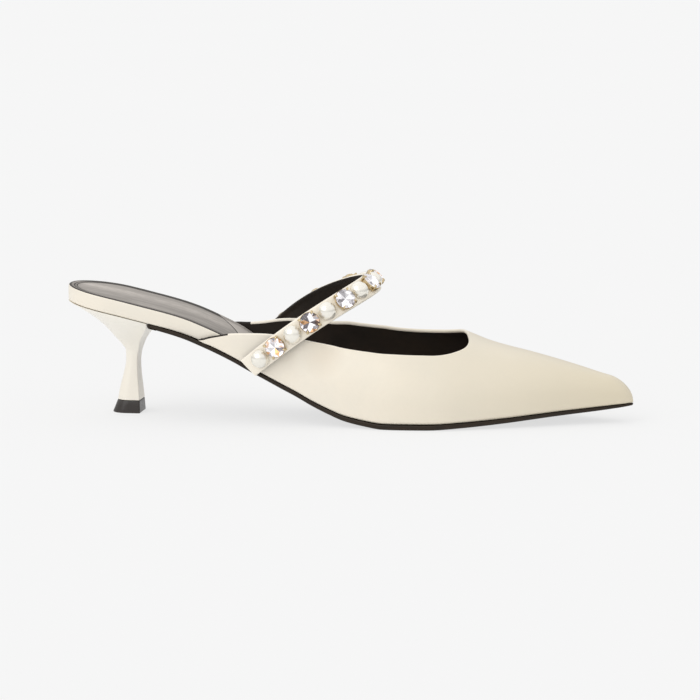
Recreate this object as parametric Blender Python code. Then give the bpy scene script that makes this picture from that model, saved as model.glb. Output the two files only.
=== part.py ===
"""Pointed backless kitten-heel mule for the right foot, with a jewelled instep strap.

Frame: metres, +X to the toe, +Y to the medial (inner) side, +Z up.
The origin is on the floor at the middle of the heel's top piece.
Distances along the shoe, s, are measured from the back of the seat.
"""
import math

import bmesh
import bpy
import numpy as np

MM = 0.001

# Driving sizes
SHOE_LENGTH = 255.0*MM
SEAT_SETBACK = 26.4*MM      # back of the seat behind the heel's top piece
SEAT_WIDTH = 48.0*MM
WAIST_WIDTH = 47.0*MM
BALL_WIDTH = 76.0*MM
TOE_WIDTH = 14.0*MM
SEAT_RISE = 49.0*MM         # how far the seat stands above the tread
TOE_SPRING = 6.3*MM
INSTEP_HEIGHT = 50.0*MM     # last heights above the feather line
VAMP_HEIGHT = 35.0*MM
TOE_HEIGHT = 14.0*MM
SOLE_THICKNESS = 2.6*MM
WALL = 1.6*MM               # upper leather and lining
RAND_HEIGHT = 6.8*MM        # wrapped edge of the insole board
BOARD_THICKNESS = 2.6*MM    # the same board inside the upper
SOCK_THICKNESS = 1.0*MM
RIM_WIDTH = 1.0*MM          # rand left bare round the sock
SOCK_RECESS = 1.5*MM        # how deep the sock's bed lies below that rim
TOE_ROUND = 6.0*MM
NOSE_ROUND = 11.0*MM
BULGE = 2.2*MM
BREAST_REACH = 40.0*MM      # from the back of the seat to the heel's breast
TOP_PIECE_HEIGHT = 5.6*MM
TOP_PIECE_WIDTH = 14.0*MM
TOP_PIECE_LENGTH = 13.6*MM
STRAP_THICKNESS = 2.0*MM
PEARL_WIDTH = 8.2*MM
CRYSTAL_WIDTH = 8.3*MM
CUP_WIDTH = 9.9*MM
CUP_HEIGHT = 1.9*MM
STONE_COUNT = 17
STONE_START = 7.6*MM        # from each end of the strap to its first pearl

# Clearances
GAP = 0.3*MM                # between pieces that lie together
BOARD_CLEARANCE = 0.7*MM    # board edge to the upper's lining

LATERAL, MEDIAL = -1.0, 1.0
FULL_Y, FULL_Z = 0.80, 0.95   # how square the last's sections are

# Outline at the feather line: share of length, size it scales with,
# lateral and medial half-widths as shares of that size
PLAN = [
    (0.000, SEAT_WIDTH, 0.500, 0.500),
    (0.094, SEAT_WIDTH, 0.500, 0.500),
    (0.190, SEAT_WIDTH, 0.510, 0.492),
    (0.294, WAIST_WIDTH, 0.537, 0.457),
    (0.380, WAIST_WIDTH, 0.566, 0.432),
    (0.450, BALL_WIDTH, 0.394, 0.292),
    (0.520, BALL_WIDTH, 0.455, 0.360),
    (0.600, BALL_WIDTH, 0.503, 0.450),
    (0.667, BALL_WIDTH, 0.487, 0.490),
    (0.740, BALL_WIDTH, 0.410, 0.446),
    (0.820, BALL_WIDTH, 0.295, 0.343),
    (0.900, TOE_WIDTH, 0.900, 1.110),
    (0.960, TOE_WIDTH, 0.440, 0.560),
    (1.000, TOE_WIDTH, 0.180, 0.300),
]

# Feather line from the side: share of length, share of the seat's rise,
# share of the toe spring, sole thickness as a share of its full thickness
PROFILE = [
    (0.000, 1.000, 0.00, 0.80),
    (0.078, 0.926, 0.00, 0.80),
    (0.137, 0.856, 0.00, 0.80),
    (0.196, 0.780, 0.00, 0.82),
    (0.224, 0.735, 0.00, 0.82),
    (0.251, 0.680, 0.00, 0.84),
    (0.282, 0.610, 0.00, 0.84),
    (0.310, 0.540, 0.00, 0.84),
    (0.337, 0.465, 0.00, 0.84),
    (0.365, 0.391, 0.00, 0.84),
    (0.394, 0.316, 0.00, 0.86),
    (0.424, 0.243, 0.00, 0.88),
    (0.451, 0.172, 0.00, 0.90),
    (0.481, 0.106, 0.00, 0.92),
    (0.510, 0.054, 0.00, 0.95),
    (0.545, 0.020, 0.00, 0.98),
    (0.580, 0.000, 0.00, 1.00),
    (0.650, 0.000, 0.00, 1.00),
    (0.710, 0.000, 0.10, 0.96),
    (0.785, 0.000, 0.30, 0.88),
    (0.860, 0.000, 0.56, 0.80),
    (0.940, 0.000, 0.80, 0.70),
    (1.000, 0.000, 1.00, 0.50),
]

# Crest of the last: share of length, size it scales with, height above the feather
# line as a share of that size, shift to the medial side as a share of ball width
RIDGE = [
    (0.230, INSTEP_HEIGHT, 0.740, 0.020),
    (0.310, INSTEP_HEIGHT, 0.860, 0.030),
    (0.390, INSTEP_HEIGHT, 1.000, 0.050),
    (0.470, INSTEP_HEIGHT, 1.040, 0.070),
    (0.550, INSTEP_HEIGHT, 0.970, 0.080),
    (0.610, VAMP_HEIGHT, 1.270, 0.080),
    (0.667, VAMP_HEIGHT, 1.120, 0.075),
    (0.715, VAMP_HEIGHT, 0.968, 0.070),
    (0.745, VAMP_HEIGHT, 0.874, 0.065),
    (0.820, VAMP_HEIGHT, 0.702, 0.055),
    (0.900, TOE_HEIGHT, 1.270, 0.045),
    (0.960, TOE_HEIGHT, 0.890, 0.030),
    (1.000, TOE_HEIGHT, 0.690, 0.020),
]

# Ribs of each side of the upper that end on its top edge: share of length at the
# feather line, share of length at the top edge, share of the way up to the crest
TOPLINE_LATERAL = [
    (0.249, 0.249, 0.022),
    (0.265, 0.265, 0.049),
    (0.283, 0.283, 0.092),
    (0.306, 0.306, 0.144),
    (0.341, 0.341, 0.205),
    (0.377, 0.377, 0.252),
    (0.414, 0.414, 0.292),
    (0.451, 0.451, 0.328),
    (0.508, 0.508, 0.385),
    (0.565, 0.565, 0.432),
    (0.620, 0.620, 0.474),
    (0.648, 0.646, 0.504),
    (0.668, 0.668, 0.537),
    (0.690, 0.686, 0.585),
    (0.706, 0.698, 0.636),
    (0.718, 0.707, 0.690),
    (0.728, 0.713, 0.752),
    (0.736, 0.715, 0.830),
    (0.742, 0.714, 0.915),
    (0.748, 0.711, 1.000),
]
TOPLINE_MEDIAL = [
    (0.249, 0.249, 0.022),
    (0.265, 0.265, 0.052),
    (0.283, 0.283, 0.094),
    (0.310, 0.310, 0.140),
    (0.335, 0.335, 0.191),
    (0.365, 0.365, 0.250),
    (0.414, 0.414, 0.325),
    (0.464, 0.464, 0.391),
    (0.493, 0.493, 0.438),
    (0.549, 0.549, 0.499),
    (0.605, 0.605, 0.538),
    (0.634, 0.634, 0.580),
    (0.664, 0.664, 0.648),
    (0.684, 0.676, 0.686),
    (0.702, 0.687, 0.730),
    (0.716, 0.695, 0.780),
    (0.727, 0.701, 0.832),
    (0.736, 0.705, 0.888),
    (0.742, 0.708, 0.944),
    (0.748, 0.711, 1.000),
]
UPPER_ROWS = 9               # faces from the feather line to the top edge
VAMP_RIBS = 15               # ribs from the throat to the toe

# Heel sections from the floor end up, in shares: height of the back and of the
# breast (of the heel's height), back and breast positions (of the setback),
# half-width (of the seat width)
HEEL_SECTIONS = [
    (0.117, 0.117, -0.170, 0.247, 0.130),
    (0.218, 0.208, -0.130, 0.232, 0.116),
    (0.349, 0.337, -0.063, 0.210, 0.102),
    (0.460, 0.436, -0.024, 0.203, 0.095),
    (0.545, 0.515, -0.028, 0.216, 0.099),
    (0.608, 0.572, -0.105, 0.240, 0.121),
    (0.672, 0.628, -0.220, 0.275, 0.165),
    (0.732, 0.675, -0.318, 0.322, 0.226),
    (0.782, 0.712, -0.409, 0.376, 0.292),
    (0.840, 0.748, -0.538, 0.432, 0.364),
    (0.897, 0.782, -0.686, 0.478, 0.430),
    (0.955, 0.820, -0.868, 0.508, 0.480),
]

# Board thickness: share of length, share of the rand height, share of the board
# thickness, share of the inset that hides its edge inside the upper
BOARD = [
    (0.000, 1.000, 0.00, 0.00),
    (0.150, 1.000, 0.00, 0.00),
    (0.243, 1.000, 0.00, 0.84),
    (0.290, 1.000, 0.00, 1.00),
    (0.330, 0.780, 0.00, 1.00),
    (0.400, 0.420, 0.20, 1.00),
    (0.480, 0.000, 1.00, 1.00),
    (0.700, 0.000, 0.90, 1.00),
    (0.900, 0.000, 0.70, 1.00),
    (1.000, 0.000, 0.45, 1.00),
]

# Strap edges: distance from the back of the seat in shares of length and height
# above the floor in shares of instep height, at the lateral foot, crown and medial foot
STRAP_EDGES = {
    "rear": ((0.323, 0.552), (0.5265, 1.283), (0.310, 0.580)),
    "front": ((0.349, 0.415), (0.5570, 1.152), (0.332, 0.470)),
}
STRAP_BOW = {LATERAL: 0.028, MEDIAL: 0.104}    # how far each half bows upward, share of instep height
STRAP_SPAN = {LATERAL: 0.700, MEDIAL: 0.645}   # half-spans in shares of waist width
STRAP_TUCK = {LATERAL: 0.094, MEDIAL: 0.115}   # how much nearer the middle its feet stand
STRAP_HUG = 0.45                                # share of its rise that lies on the upper
STRAP_FULLNESS = 2.7                            # 2 is an ellipse, more is squarer

COLOURS = {
    "cream leather": ((0.84, 0.79, 0.68), 0.42, 0.0),
    "heel cover": ((0.88, 0.85, 0.77), 0.38, 0.0),
    "sole": ((0.030, 0.021, 0.013), 0.45, 0.0),
    "top piece": ((0.060, 0.045, 0.038), 0.50, 0.0),
    "sock leather": ((0.42, 0.39, 0.35), 0.50, 0.0),
    "pearl": ((0.86, 0.83, 0.74), 0.18, 0.0),
    "crystal": ((0.80, 0.81, 0.82), 0.05, 0.0),
    "gold": ((0.83, 0.66, 0.36), 0.25, 1.0),
}


def ease(at, xs, ys):
    """Smooth curve through (xs, ys) that never overshoots them."""
    xs, ys = np.asarray(xs, float), np.asarray(ys, float)
    gap = np.diff(xs)
    rise = np.diff(ys)/gap
    same = rise[:-1]*rise[1:] > 0
    w1, w2 = 2*gap[1:] + gap[:-1], gap[1:] + 2*gap[:-1]
    low, high = np.where(same, rise[:-1], 1.0), np.where(same, rise[1:], 1.0)
    slope = np.concatenate([[rise[0]], np.where(same, (w1 + w2)/(w1/low + w2/high), 0.0), [rise[-1]]])
    at = np.clip(at, xs[0], xs[-1])
    k = np.clip(np.searchsorted(xs, at, side="right") - 1, 0, len(gap) - 1)
    t = (at - xs[k])/gap[k]
    return ((2*t**3 - 3*t**2 + 1)*ys[k] + (t**3 - 2*t**2 + t)*gap[k]*slope[k]
            + (3*t**2 - 2*t**3)*ys[k + 1] + (t**3 - t**2)*gap[k]*slope[k + 1])


def read(table, share, column, size=None):
    """Value of a table's column at a share of length, times the size in another column."""
    scale = [1.0 if size is None else row[size] for row in table]
    return ease(share, [row[0] for row in table], [row[column]*k for row, k in zip(table, scale)])


def rounded(distance, radius):
    """Closes an end like a quarter circle: 0 at the end, 1 a radius away from it."""
    return np.sqrt(1 - np.clip(1 - distance/radius, 0, 1)**2)


def half_width(s, side, inset=0.0):
    """Half-width at the feather line, closed round the seat and at the toe."""
    s = np.asarray(s, float)
    width = read(PLAN, s/SHOE_LENGTH, 2 if side == LATERAL else 3, 1) - inset
    back = rounded(s - inset, SEAT_WIDTH/2 - inset)
    front = rounded(SHOE_LENGTH - 2.4*inset - s, TOE_ROUND)
    return np.maximum(width, 0.05*MM)*back*front


def feather(s):
    """Height of the feather line above the floor."""
    share = np.asarray(s, float)/SHOE_LENGTH
    return SOLE_THICKNESS + SEAT_RISE*read(PROFILE, share, 1) + TOE_SPRING*read(PROFILE, share, 2)


def underside(s):
    """Height of the sole's lower face, zero on the tread."""
    return feather(s) - SOLE_THICKNESS*read(PROFILE, np.asarray(s, float)/SHOE_LENGTH, 3)


def crest(s, inset=0.0):
    """Height of the last's crest above the feather line, and its sideways shift."""
    share = np.asarray(s, float)/SHOE_LENGTH
    height = np.maximum(read(RIDGE, share, 2, 1) - inset, 0.05*MM)
    return height*rounded(SHOE_LENGTH - 2.4*inset - s, NOSE_ROUND), BALL_WIDTH*read(RIDGE, share, 3)


def last_surface(s, climb, side, inset=0.0):
    """Point on the last; climb goes from 0 at the feather line to 1 at the crest."""
    height, shift = crest(s, inset)
    reach = half_width(s, side, inset)
    narrow = 0.3*(half_width(s, LATERAL, inset) + half_width(s, MEDIAL, inset))
    shift = np.clip(shift, -narrow, narrow)
    span = reach - side*shift
    angle = climb*math.pi/2
    bulge = BULGE*np.sin(2*angle)*np.clip(span/(20*MM), 0, 1)
    y = shift + side*(span*np.clip(np.cos(angle), 0, 1)**FULL_Y + bulge)
    z = feather(s) + height*np.sin(angle)**FULL_Z
    return np.stack(np.broadcast_arrays(s - SEAT_SETBACK, y, z), axis=-1)


def material(name):
    """Principled material from the colour table."""
    colour, rough, metal = COLOURS[name]
    made = bpy.data.materials.get(name) or bpy.data.materials.new(name)
    made.use_nodes = True
    shader = made.node_tree.nodes["Principled BSDF"]
    shader.inputs["Base Color"].default_value = (*colour, 1.0)
    shader.inputs["Roughness"].default_value = rough
    shader.inputs["Metallic"].default_value = metal
    made.diffuse_color = (*colour, 1.0)
    return made


def solid(name, points, faces, look, smooth=True):
    """One closed object from points and faces, its faces turned outward."""
    mesh = bpy.data.meshes.new(name)
    mesh.from_pydata([tuple(p) for p in points], [], faces)
    shape = bmesh.new()
    shape.from_mesh(mesh)
    bmesh.ops.recalc_face_normals(shape, faces=shape.faces)
    bmesh.ops.triangulate(shape, faces=shape.faces)
    shape.to_mesh(mesh)
    shape.free()
    mesh.materials.append(material(look))
    if smooth:
        mesh.shade_smooth()
        mesh.set_sharp_from_angle(angle=math.radians(40))
    made = bpy.data.objects.new(name, mesh)
    bpy.context.collection.objects.link(made)
    return made


def loft(rings):
    """Points and faces through closed rings, with a flat fan over each end."""
    rings = [np.asarray(ring, float) for ring in rings]
    count = len(rings[0])
    points = np.concatenate(rings + [rings[0].mean(0)[None], rings[-1].mean(0)[None]])
    first, last = len(points) - 2, len(points) - 1
    faces = []
    for r in range(len(rings) - 1):
        for k in range(count):
            a, b = r*count + k, r*count + (k + 1) % count
            faces.append((a, b, b + count, a + count))
    end = (len(rings) - 1)*count
    for k in range(count):
        n = (k + 1) % count
        faces.append((n, k, first))
        faces.append((end + k, end + n, last))
    return points, faces


def stations(start, end, count, crowd_start=False, crowd_end=False):
    """Distances along the shoe, closer together at a rounded end."""
    t = np.linspace(0, 1, count)
    if crowd_start and crowd_end:
        t = (1 - np.cos(t*math.pi))/2
    elif crowd_end:
        t = np.sin(t*math.pi/2)
    elif crowd_start:
        t = 1 - np.cos(t*math.pi/2)
    return start + (end - start)*t


def sole_ring(s, edge):
    """Section of the sole: flat below with a rounded edge, flat above."""
    low, top = underside(s), feather(s) - GAP
    thick = top - low
    left, right = half_width(s, LATERAL), half_width(s, MEDIAL)
    x = s - SEAT_SETBACK
    ring = []
    for share, lift in ((-1, 0.45), (-1, 0.18), (None, 0), (-0.45, 0), (0, 0), (0.45, 0),
                        (None, 0), (1, 0.18), (1, 0.45)):
        side = left if len(ring) < 5 else right
        if share is None:
            y = max(side - edge, 0.7*side)*(-1 if len(ring) < 5 else 1)
        else:
            y = share*side
        if abs(share or 0) == 1 and lift < 0.3:
            y -= math.copysign(min(0.25*edge, 0.1*side), y)
        ring.append((x, y, low + lift*thick))
    for share in (1, 0.5, 0, -0.5, -1):
        ring.append((x, share*(right if share > 0 else left), top))
    return ring


def outsole():
    """Thin sole from the heel's breast to the toe, with the tread's flat spot."""
    start, end = BREAST_REACH + GAP, SHOE_LENGTH - 0.1*MM
    waist = stations(start, 0.58*SHOE_LENGTH, 17)
    tread = stations(0.58*SHOE_LENGTH, 0.65*SHOE_LENGTH, 3)[1:]
    front = stations(0.65*SHOE_LENGTH, end, 15, crowd_end=True)[1:]
    rings = [sole_ring(s, 1.3*MM) for s in np.concatenate([waist, tread, front])]
    return solid("outsole", *loft(rings), "sole")


def heel_outline(back, breast, half, count=9):
    """D shape from the breast's medial corner round the back to its lateral corner."""
    depth = breast - back
    radius = min(half, 0.85*depth)
    angle = np.linspace(0, math.pi/2, count)
    curve_x = np.concatenate([[breast], back + radius*(1 - np.cos(angle[::-1]))])
    curve_y = np.concatenate([[half], half*np.sin(angle[::-1])])
    return np.concatenate([curve_x, curve_x[:-1][::-1]]), np.concatenate([curve_y, -curve_y[:-1][::-1]])


def heel():
    """Flared kitten heel: round back, flat breast, seat cut to the board's slope."""
    height = SOLE_THICKNESS + SEAT_RISE
    rings = []
    for row in HEEL_SECTIONS:
        back, breast = row[2]*SEAT_SETBACK, row[3]*SEAT_SETBACK
        x, y = heel_outline(back, breast, row[4]*SEAT_WIDTH)
        share = (x - back)/(breast - back)
        base = row[0] + (row[1] - row[0])*share
        z = height*base
        if not rings:
            z = np.full_like(x, TOP_PIECE_HEIGHT + GAP)
        rings.append(np.stack([x, y, z], axis=-1))
    top = heel_outline(-SEAT_SETBACK, BREAST_REACH - SEAT_SETBACK, SEAT_WIDTH/2)
    rings.append(np.stack([top[0], top[1], feather(top[0] + SEAT_SETBACK) - GAP], axis=-1))
    return solid("heel", *loft(rings), "heel cover")


def top_piece():
    """Flat wearing piece under the heel, wider at the floor."""
    first = HEEL_SECTIONS[0]
    upper = heel_outline(first[2]*SEAT_SETBACK, first[3]*SEAT_SETBACK, first[4]*SEAT_WIDTH)
    lower = heel_outline(-TOP_PIECE_LENGTH/2, TOP_PIECE_LENGTH/2, TOP_PIECE_WIDTH/2)
    rings = [np.stack([x, y, np.full_like(x, z)], axis=-1)
             for (x, y), z in ((lower, 0.0), (upper, TOP_PIECE_HEIGHT))]
    return solid("top_piece", *loft(rings), "top piece")


def board_top(s):
    """Height of the board's upper face above the feather line."""
    share = np.asarray(s, float)/SHOE_LENGTH
    return np.maximum(RAND_HEIGHT*read(BOARD, share, 1), BOARD_THICKNESS*read(BOARD, share, 2))


def board_inset(s):
    """How far the board's edge lies inside the upper's outline."""
    return (WALL + BOARD_CLEARANCE)*read(BOARD, np.asarray(s, float)/SHOE_LENGTH, 3)


def board_half(s, side, more=0.0):
    """Half-width of the board, less a margin, closed at both ends."""
    inside = WALL + BOARD_CLEARANCE + more
    width = read(PLAN, s/SHOE_LENGTH, 2 if side == LATERAL else 3, 1) - board_inset(s) - more
    back = rounded(s - more, SEAT_WIDTH/2 - more)
    front = rounded(SHOE_LENGTH - 2.4*inside - s, TOE_ROUND + more)
    return max(width, 0.05*MM)*back*front


def sock_bed(s):
    """Depth of the sock's bed below the board's rim; it runs out inside the upper."""
    return SOCK_RECESS*read(BOARD, np.asarray(s, float)/SHOE_LENGTH, 1)


def footbed():
    """Insole board: its wrapped edge is the rand behind the upper's wings."""
    end = SHOE_LENGTH - 2.4*(WALL + BOARD_CLEARANCE) - 0.1*MM
    along = np.concatenate([
        [0.15*MM, 0.8*MM, RIM_WIDTH - 0.1*MM],
        stations(RIM_WIDTH + 0.1*MM, SEAT_WIDTH/2, 8, crowd_start=True),
        stations(SEAT_WIDTH/2, 0.7*SHOE_LENGTH, 20)[1:],
        stations(0.7*SHOE_LENGTH, end, 10, crowd_end=True)[1:],
    ])
    rings = []
    for s in along:
        low, high = feather(s), feather(s) + board_top(s)
        bed = sock_bed(s) if s > RIM_WIDTH else 0.0
        edge = min(1.2*MM, 0.3*board_top(s))
        ring = []
        for side in (LATERAL, MEDIAL):
            reach = board_half(s, side)
            corner = max(reach - edge, 0.8*reach)
            inner = board_half(s, side, RIM_WIDTH) if bed > 0 else 0.6*corner
            half = [(reach, low), (reach, high - edge), (corner, high), (inner, high),
                    (inner, high - bed), (0.5*inner, high - bed)]
            half = [(s - SEAT_SETBACK, side*y, z) for y, z in half]
            ring += half if side == LATERAL else half[::-1]
        rings.append(ring)
    return solid("footbed", *loft(rings), "cream leather")


def sock():
    """Leather sock in its bed on the board, inside the rand's bare rim."""
    margin = RIM_WIDTH + GAP
    end = SHOE_LENGTH - 2.4*(WALL + BOARD_CLEARANCE + margin) - 2.0*MM
    along = np.concatenate([
        stations(margin + 0.15*MM, SEAT_WIDTH/2, 8, crowd_start=True),
        stations(SEAT_WIDTH/2, 0.7*SHOE_LENGTH, 20)[1:],
        stations(0.7*SHOE_LENGTH, end, 8, crowd_end=True)[1:],
    ])
    rings = []
    for s in along:
        low = feather(s) + board_top(s) - sock_bed(s) + GAP
        high = low + SOCK_THICKNESS
        ring = []
        for side in (LATERAL, MEDIAL):
            reach = board_half(s, side, margin)
            corner = max(reach - 0.4*MM, 0.8*reach)
            half = [(reach, low), (reach, high - 0.4*MM), (corner, high)]
            half = [(s - SEAT_SETBACK, side*y, z) for y, z in half]
            ring += half if side == LATERAL else half[::-1]
        rings.append(ring)
    return solid("sock", *loft(rings), "sock leather")


def upper_skin(side, table, inset):
    """Ribs of one side, from the feather line to the top edge or the crest."""
    foot = [row[0]*SHOE_LENGTH for row in table]
    head = [row[1]*SHOE_LENGTH for row in table]
    climb = [row[2] for row in table]
    end = SHOE_LENGTH - 2.4*inset - 0.02*MM
    ahead = stations(0, 1, VAMP_RIBS, crowd_end=True)[1:]
    foot += list(foot[-1] + (end - foot[-1])*ahead)
    head += list(head[-1] + (end - head[-1])*ahead)
    climb += [1.0]*len(ahead)
    rows = np.linspace(0, 1, UPPER_ROWS + 1)
    ribs = []
    for low, high, rise in zip(foot, head, climb):
        s = low + (high - low)*rows
        ribs.append(last_surface(s, rise*rows, side, inset))
    return np.array(ribs)


def upper():
    """Hollow vamp with two wings: outer and inner skins joined round both edges."""
    points, faces, grids = [], [], {}
    joined = len(TOPLINE_LATERAL) - 1
    for inset in (0.0, WALL):
        for side, table in ((LATERAL, TOPLINE_LATERAL), (MEDIAL, TOPLINE_MEDIAL)):
            ribs = upper_skin(side, table, inset)
            ribs[..., 2] = np.maximum(ribs[..., 2], feather(ribs[..., 0] + SEAT_SETBACK))
            count, rows = ribs.shape[:2]
            index = np.arange(count*rows).reshape(count, rows) + len(points)
            if side == MEDIAL:
                index[joined:, -1] = grids[inset, LATERAL][joined:, -1]
            grids[inset, side] = index
            points += list(ribs.reshape(-1, 3))
            for r in range(count - 1):
                for k in range(rows - 1):
                    faces.append((index[r, k], index[r + 1, k], index[r + 1, k + 1], index[r, k + 1]))
    for side in (LATERAL, MEDIAL):
        outer, inner = grids[0.0, side], grids[WALL, side]
        for r in range(len(outer) - 1):
            faces.append((outer[r, 0], outer[r + 1, 0], inner[r + 1, 0], inner[r, 0]))
        for r in range(joined):
            faces.append((outer[r, -1], outer[r + 1, -1], inner[r + 1, -1], inner[r, -1]))
        for k in range(outer.shape[1] - 1):
            faces.append((outer[0, k], outer[0, k + 1], inner[0, k + 1], inner[0, k]))
    toe = [(grids[i, LATERAL][-1], grids[i, MEDIAL][-1]) for i in (0.0, WALL)]
    for left, right in toe:
        for k in range(len(left) - 1):
            if k == len(left) - 2:
                faces.append((left[k], left[k + 1], right[k]))
            else:
                faces.append((left[k], left[k + 1], right[k + 1], right[k]))
    faces.append((toe[0][0][0], toe[0][1][0], toe[1][1][0], toe[1][0][0]))
    used = sorted({int(v) for face in faces for v in face})
    renumber = {old: new for new, old in enumerate(used)}
    faces = [tuple(renumber[int(v)] for v in face) for face in faces]
    return solid("upper", [points[v] for v in used], faces, "cream leather")


def strap_edge(name, turn):
    """Point on one edge of the strap; turn goes from 0 lateral to pi medial."""
    lateral_foot, crown, medial_foot = (np.array(point) for point in STRAP_EDGES[name])
    rise = np.abs(np.sin(turn))**(2/STRAP_FULLNESS)
    swing = np.sign(np.cos(turn))*np.abs(np.cos(turn))**(2/STRAP_FULLNESS)
    near = swing > 0
    tuck = np.where(near, STRAP_TUCK[LATERAL], STRAP_TUCK[MEDIAL])*np.clip(1 - rise/STRAP_HUG, 0, 1)**1.5
    span = (np.where(near, STRAP_SPAN[LATERAL], STRAP_SPAN[MEDIAL]) - tuck)*WAIST_WIDTH
    foot = np.where(near[:, None], lateral_foot, medial_foot)*[SHOE_LENGTH, INSTEP_HEIGHT]
    climb = crown*[SHOE_LENGTH, INSTEP_HEIGHT] - foot
    upward = climb[:, ::-1]*[-1, 1]/np.linalg.norm(climb, axis=1, keepdims=True)
    bow = np.where(near, STRAP_BOW[LATERAL], STRAP_BOW[MEDIAL])*INSTEP_HEIGHT*np.sin(math.pi*rise)
    place = foot + climb*rise[:, None] + upward*bow[:, None]
    return np.stack([place[:, 0] - SEAT_SETBACK, -swing*span, place[:, 1]], axis=-1)


def strap_frames(turn):
    """Middle of the band, its direction, its width direction and its outward side."""
    rear, front = strap_edge("rear", turn), strap_edge("front", turn)
    middle = (rear + front)/2
    step = 0.002
    ahead = (strap_edge("rear", turn + step) + strap_edge("front", turn + step))/2
    behind = (strap_edge("rear", turn - step) + strap_edge("front", turn - step))/2
    along = ahead - behind
    along /= np.linalg.norm(along, axis=-1, keepdims=True)
    across = front - rear
    width = np.linalg.norm(across, axis=-1, keepdims=True)
    out = np.cross(across, along)
    out /= np.linalg.norm(out, axis=-1, keepdims=True)
    centre = np.array([middle[:, 0].mean(), 0.0, 10*MM])
    flip = np.sign(((middle - centre)*out).sum(-1).sum())
    return middle, along, across/width, out*flip, width


def even_turns(count, start, end):
    """Turns spaced evenly by length along the band."""
    fine = np.linspace(0.004, math.pi - 0.004, 1500)
    middle = strap_frames(fine)[0]
    travelled = np.concatenate([[0], np.cumsum(np.linalg.norm(np.diff(middle, axis=0), axis=1))])
    return np.interp(np.linspace(start, travelled[-1] - end, count), travelled, fine)


def strap():
    """Flat band over the instep, standing just outside the upper at its feet."""
    turn = even_turns(45, 0.0, 0.0)
    middle, along, across, out, width = strap_frames(turn)
    edge = 0.35*STRAP_THICKNESS
    rings = []
    for share, level in ((-1, 0.0), (-1, 1 - edge/STRAP_THICKNESS), (-0.93, 1.0), (0.93, 1.0),
                         (1, 1 - edge/STRAP_THICKNESS), (1, 0.0)):
        rings.append(middle + across*width*share/2 - out*STRAP_THICKNESS*(1 - level))
    return solid("strap", *loft(np.stack(rings, axis=1)), "cream leather")


def placed(points, middle, along, across, out):
    """Moves points made round a stone's own axis onto the strap."""
    points = np.asarray(points, float)
    return (middle + points[:, :1]*along + points[:, 1:2]*across + points[:, 2:]*out)


def turned(profile, count, phase=0.0):
    """Rings round the Z axis from (radius, height) rows."""
    angle = np.arange(count)*2*math.pi/count + phase
    return [np.stack([r*np.cos(angle), r*np.sin(angle), np.full(count, z)], axis=-1) for r, z in profile]


def pearl_shape():
    """Half-round pearl with a flat back."""
    radius, rise = PEARL_WIDTH/2, 0.46*PEARL_WIDTH
    profile = [(radius*math.cos(a), rise*math.sin(a))
               for a in np.radians([0, 22, 44, 64, 82])]
    return loft(turned([(0.88*radius, -0.04*rise)] + profile, 16))


def cup_shape():
    """Round claw cup: four claws stand over the rim of its cone-shaped seat."""
    outer = CUP_WIDTH/2
    rows = [(0.80*outer, 0.0), (0.98*outer, 0.55*CUP_HEIGHT), (outer, CUP_HEIGHT),
            (0.87*outer, CUP_HEIGHT), (0.60*outer, 0.30*CUP_HEIGHT)]
    rings = turned(rows, 16, math.pi/16)
    for k in range(16):
        if k % 4 in (1, 2):
            rings[2][k, 2] += 0.32*CUP_HEIGHT
            rings[3][k, 2] += 0.32*CUP_HEIGHT
            rings[3][k, :2] *= 1.075
    return loft(rings)


def crystal_shape():
    """Brilliant-cut stone: flat table, eight-sided crown, girdle and pavilion."""
    radius = CRYSTAL_WIDTH/2
    seat = 0.30*CUP_HEIGHT + GAP
    girdle = CUP_HEIGHT + 0.02*CRYSTAL_WIDTH
    profile = [(0.50*radius, seat + 0.05*MM), (radius, girdle), (radius, girdle + 0.05*CRYSTAL_WIDTH),
               (0.86*radius, girdle + 0.15*CRYSTAL_WIDTH), (0.58*radius, girdle + 0.24*CRYSTAL_WIDTH)]
    rings = [turned([row], 8, k*math.pi/8)[0] for k, row in zip((0, 0, 0, 1, 0), profile)]
    return loft(rings)


def stones():
    """Pearls and crystals in turn along the strap, pearls first and last."""
    turn = even_turns(STONE_COUNT, STONE_START, STONE_START)
    middle, along, across, out, _ = strap_frames(turn)
    pearls = crystals = 0
    for k in range(STONE_COUNT):
        where = (middle[k] + out[k]*(GAP + 0.02*PEARL_WIDTH), along[k], across[k], out[k])
        if k % 2 == 0:
            pearls += 1
            points, faces = pearl_shape()
            solid(f"pearl_{pearls}", placed(points, *where), faces, "pearl")
        else:
            crystals += 1
            points, faces = cup_shape()
            solid(f"cup_{crystals}", placed(points, *where), faces, "gold")
            points, faces = crystal_shape()
            solid(f"crystal_{crystals}", placed(points, *where), faces, "crystal", smooth=False)


for old in list(bpy.data.objects):
    bpy.data.objects.remove(old)
outsole()
heel()
top_piece()
footbed()
sock()
upper()
strap()
stones()
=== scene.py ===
"""Looks of a pointed backless kitten-heel mule with a pearl and crystal instep strap.

Every piece is a surface worked out from the shoe's own sizes: +X runs to the toe, +Y to the
medial side, +Z up, and the origin is under the middle of the heel's top piece. Distances
along the shoe, s, start at the back of the seat.
"""

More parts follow.
